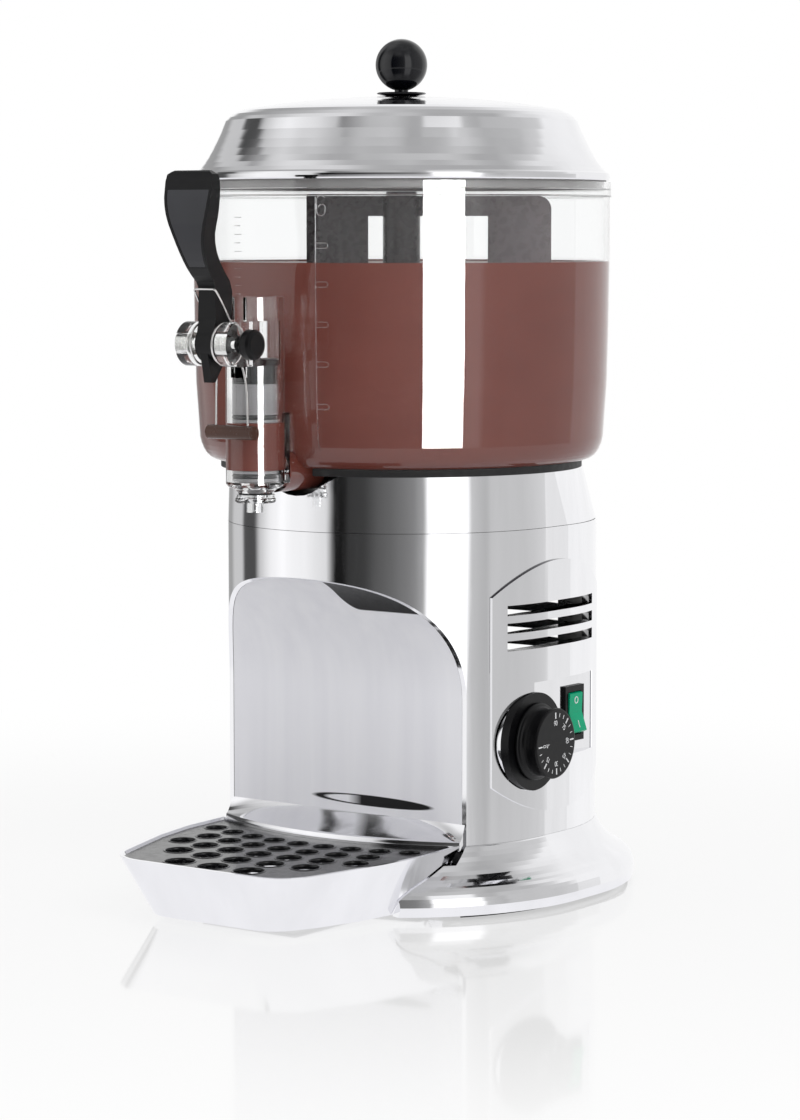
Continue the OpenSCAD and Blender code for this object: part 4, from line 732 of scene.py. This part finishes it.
coil = []
for i in range(49):
    f = i / 48
    a = math.radians(COIL_START + 360 * COIL_TURNS * f)
    coil.append((COIL_X + COIL_PITCH * COIL_TURNS * (1 - f), PIN_Y + COIL_R * math.cos(a),
                 PIN_Z + COIL_R * math.sin(a)))
leg = [(11.4, SLEEVE_Y, SLEEVE_Z + 1), (11.4, SLEEVE_Y, SLEEVE_Z + 8), (10.8, SLEEVE_Y - 0.4, PIN_Z - 24),
       (COIL_X + COIL_PITCH * COIL_TURNS, SLEEVE_Y - 2, PIN_Z - 10), coil[0], coil[2]]
arm = [coil[-3], coil[-1], (8.0, -177.4, 350.6), (7.9, -185.4, 361.6), (6.6, -187.1, 363.9)]
side = rounded_path(leg)[:-12] + coil[:-2] + rounded_path(arm)[7:]
wire_path = side + [(-x, y, z) for x, y, z in reversed(side)]
spring = piece("spring_wire", *tube(wire_path, WIRE_D / 2, 14), wire_steel, None, "spring_wire", 60)
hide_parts("tap_spring")
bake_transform(spring)
print("spring wire of", len(wire_path), "rings")

# %% [markdown]
# ## Raised marks on the bowl
# The mould leaves raised outlines on the bowl's wall: the figure 6 under the rim, a short bar for each
# litre below it, a guide line beside them, and a fine scale on the other side of the tap. They are thin
# frosted ribs, swept along strokes that are bent round the bowl.

# %% Litre marks
MARK_TURN, FINE_TURN = 13.0, -13.3
WALL_AT = [(262.8, 110.0), (275.8, 121.6), (305.8, 123.8), (335.8, 124.5), (374.8, 125.0), (425.0, 125.0)]


def wall_radius(z):
    """Outer radius of the bowl at a height."""
    for (z0, r0), (z1, r1) in zip(WALL_AT, WALL_AT[1:]):
        if z0 <= z <= z1:
            return r0 + (r1 - r0) * (z - z0) / (z1 - z0)
    return WALL_AT[-1][1]


def on_bowl(turn, across, z, out=0.0):
    """A point on the bowl's wall: turn in degrees from the tap, across in millimetres along the wall."""
    a = math.radians(turn) + across / 125
    r = wall_radius(z) + out
    return (r * math.sin(a), -r * math.cos(a), z)


def ribs(name, strokes, radius, finish, body, slot, sides=8):
    """One piece made of a round rib along each stroke."""
    points, faces = [], []
    for stroke in strokes:
        p, f = tube(stroke, radius, sides)
        faces += [tuple(len(points) + k for k in face) for face in f]
        points += p
    return piece(name, points, faces, finish, body, slot, 60)


def arc(cx, cy, rx, ry, start, end, steps=12):
    """Points of an elliptic arc, angles in degrees."""
    return [(cx + rx * math.cos(math.radians(start + (end - start) * i / steps)),
             cy + ry * math.sin(math.radians(start + (end - start) * i / steps))) for i in range(steps + 1)]


six = [[(2.6, 4.6)] + arc(0, 3.6, 2.6, 2.4, 20, 180)[1:] + [(-2.6, -2.8)]
       + arc(0, -2.8, 2.6, 2.6, 180, 360)[1:] + [(2.6, -0.6)] + arc(0.6, -0.6, 2.0, 1.6, 0, 180)[1:]]
strokes = [[on_bowl(MARK_TURN, 3.4 + u, 410.2 + v, 0.1) for u, v in line] for line in six]
for z in (387.9, 365.8, 343.1, 320.4, 296.2):
    strokes.append([on_bowl(MARK_TURN, u, z + v, 0.1) for u, v in
                    [(0, 1.5)] + arc(6, 0, 1.5, 1.5, 90, -90, 8) + [(0, -1.5)]])
strokes.append([on_bowl(MARK_TURN, 0, 415.5 - 4 * i, 0.1) for i in range(38)])
fine = [[on_bowl(FINE_TURN, u, z, 0.05) for u in (-2.4, 0, 2.4 if k % 2 else 3.4)]
        for k, z in enumerate(404 - 4.9 * i for i in range(24))]
frosted = clear_plastic("frosted_ribs", (0.93, 0.93, 0.94), (0.18, 0.3))
marks = ribs("litre_marks", strokes, 0.3, frosted, "bowl_unit", "clear_plastic")
scale_lines = ribs("fine_scale", fine, 0.22, frosted, "bowl_unit", "clear_plastic", 6)
print("strokes on the bowl:", len(strokes) + len(fine))

# %% [markdown]
# The rim band is stepped: two shallow beads run round it. They catch the light as thin bright lines.

# %% Rim beads
def bead(z, r, thick):
    """A half-round bead round the bowl's axis."""
    crown = [(r + thick * 0.7 * math.cos(math.radians(a)), z + thick * math.sin(math.radians(a)))
             for a in range(-60, 61, 30)]
    return lathe([(r - 0.2, z - thick), (r, z - thick)] + crown + [(r, z + thick), (r - 0.2, z + thick)],
                 (0, 0), 192)


for number, (z, thick) in enumerate(((416.6, 0.5), (420.6, 0.35))):
    band = piece(f"rim_bead_{number}", *bead(z, 125.6, thick), clear_bowl, "bowl_unit", "clear_plastic")
    strip_lit.objects.link(band)
print("rim beads made")

# %% [markdown]
# ## Print on the dial
# The dial's face carries a stroke every fifteen degrees, a thick one with a number every 45 degrees, and
# the sign for degrees Celsius beside the 0. Each is a flat raised stroke, so a few lines of points per
# figure are enough. The middle of the face stays bare.

# %% Dial print
DIAL_X, DIAL_Y, DIAL_Z = 121.3, -12.9, 97.2
FIGURES = {
    "0": [arc(0, 0, 0.5, 0.9, 0, 360, 16)],
    "1": [[(-0.3, 0.5), (0.1, 0.9), (0.1, -0.9)]],
    "3": [arc(0, 0.43, 0.46, 0.47, 150, -90, 10) + arc(0, -0.43, 0.5, 0.47, 90, -150, 10)[1:]],
    "4": [[(0.2, -0.9), (0.2, 0.9), (-0.5, -0.35), (0.5, -0.35)]],
    "5": [[(0.45, 0.9), (-0.35, 0.9), (-0.42, 0.1)] + arc(0, -0.32, 0.5, 0.56, 120, -150, 10)],
    "6": [[(0.4, 0.9), (-0.1, 0.55)] + arc(0, -0.35, 0.5, 0.53, 160, 520, 14)],
    "7": [[(-0.5, 0.9), (0.5, 0.9), (-0.1, -0.9)]],
    "9": [[(-0.4, -0.9), (0.1, -0.55)] + arc(0, 0.35, 0.5, 0.53, -20, 340, 14)],
    "C": [arc(0, 0, 0.55, 0.9, 45, 315, 12)],
    "o": [arc(0, 0.5, 0.28, 0.32, 0, 360, 10)],
}


def on_face(turn, out, across):
    """A point on the dial's face: turn in degrees from +Y, out from its middle, across to the turn."""
    a = math.radians(turn)
    return (DIAL_X + 0.03, DIAL_Y + out * math.cos(a) + across * math.sin(a),
            DIAL_Z + out * math.sin(a) - across * math.cos(a))


dial_strokes = [[], []]
for step in range(19):
    turn = 182 + 15 * step
    thick = step % 3 == 0
    dial_strokes[0 if thick else 1].append([on_face(turn, 14.7 if thick else 15.6, 0),
                                            on_face(turn, 18.4 if thick else 17.9, 0)])
    if thick:
        word = str(5 * step)
        for i, figure in enumerate(word):
            shift = (i - (len(word) - 1) / 2) * 1.75
            for line in FIGURES[figure]:
                dial_strokes[1].append([on_face(turn, 12.1 + 1.5 * v, shift + 1.4 * u) for u, v in line])
for figure, shift in (("o", -0.9), ("C", 0.5)):
    for line in FIGURES[figure]:
        dial_strokes[1].append([on_face(182, 8.6 + 1.2 * v, shift + 1.1 * u) for u, v in line])
ribs("dial_marks_thick", dial_strokes[0], 0.42, white_print, "dial", "ivory_plastic", 6)
ribs("dial_marks_fine", dial_strokes[1], 0.2, white_print, "dial", "ivory_plastic", 6)
print("dial strokes:", len(dial_strokes[0]), "+", len(dial_strokes[1]))

# %% [markdown]
# ## Signs on the rocker
# The rocker has a ring above and a short line below, printed in white on its two sloping faces.

# %% Switch signs
ROCKER_X, ROCKER_TILT, SWITCH_Y, SWITCH_Z = 100.3, math.radians(-8), 34.4, 108.3
WAIST_OUT, TIP_OUT, ROCKER_HALF, PRINT_UP = 3.9, 6.2, 12.4, 0.05


def on_rocker(y, z):
    """A point just above the rocker's face, at y and z from its pivot."""
    x = WAIST_OUT + (TIP_OUT - WAIST_OUT) * abs(z) / ROCKER_HALF + PRINT_UP
    return (ROCKER_X + x * math.cos(ROCKER_TILT) + z * math.sin(ROCKER_TILT), SWITCH_Y + y,
            SWITCH_Z - x * math.sin(ROCKER_TILT) + z * math.cos(ROCKER_TILT))


signs = [[on_rocker(u, 7.3 + v) for u, v in arc(0, 0, 1.7, 1.9, 0, 360, 20)],
         [on_rocker(0, -4.9), on_rocker(0, -9.3)]]
ribs("switch_signs", signs, 0.32, white_print, "rocker", "ivory_plastic", 6)
print("switch signs made")

# %% [markdown]
# ## Rounded rims of the grid's holes
# Every hole of the grid has a rounded, slightly raised rim. These rims give each hole its bright arc, which
# tells the eye that the plate is moulded and not punched.

# %% Grid hole rims
GRID_TOP, ARC_CENTRE_Y, RAY_STEP = 38.9, 106.5, 5
HOLE_ROWS = [(289, 1, 8.7), (267, 2, 8.04), (247, 3, 7.44), (228, 3, 6.86), (210, 4, 6.32)]
TIP_Y, TIP_Z, TIP = -57.0, 40.4, math.atan(2.6 / 141.5)


def tipped(point):
    """A point of the level grid, moved to where the grid slopes down to the front with its tray."""
    x, y, z = point[0], point[1] - TIP_Y, point[2] - TIP_Z
    return (x, TIP_Y + y * math.cos(TIP) - z * math.sin(TIP), TIP_Z + y * math.sin(TIP) + z * math.cos(TIP))


points, faces, holes = [], [], 0
for away, side_holes, hole in HOLE_ROWS:
    for i in range(-side_holes, side_holes + 1):
        ray = math.radians(i * RAY_STEP)
        rim = [(hole - 0.02, GRID_TOP - 2.3), (hole + 0.5, GRID_TOP - 1.2), (hole + 1.5, GRID_TOP - 0.05),
               (hole + 0.9, GRID_TOP + 0.35), (hole + 0.3, GRID_TOP + 0.3), (hole - 0.05, GRID_TOP - 0.2),
               (hole - 0.25, GRID_TOP - 1.2)]
        p, f = lathe(rim, (away * math.sin(ray), ARC_CENTRE_Y - away * math.cos(ray)), 48)
        faces += [tuple(len(points) + k for k in face) for face in f]
        points += [tipped(q) for q in p]
        holes += 1
piece("grid_hole_rims", points, faces, grid_black, "grid_unit", "black_gloss", 70)
print("rims round", holes, "holes")
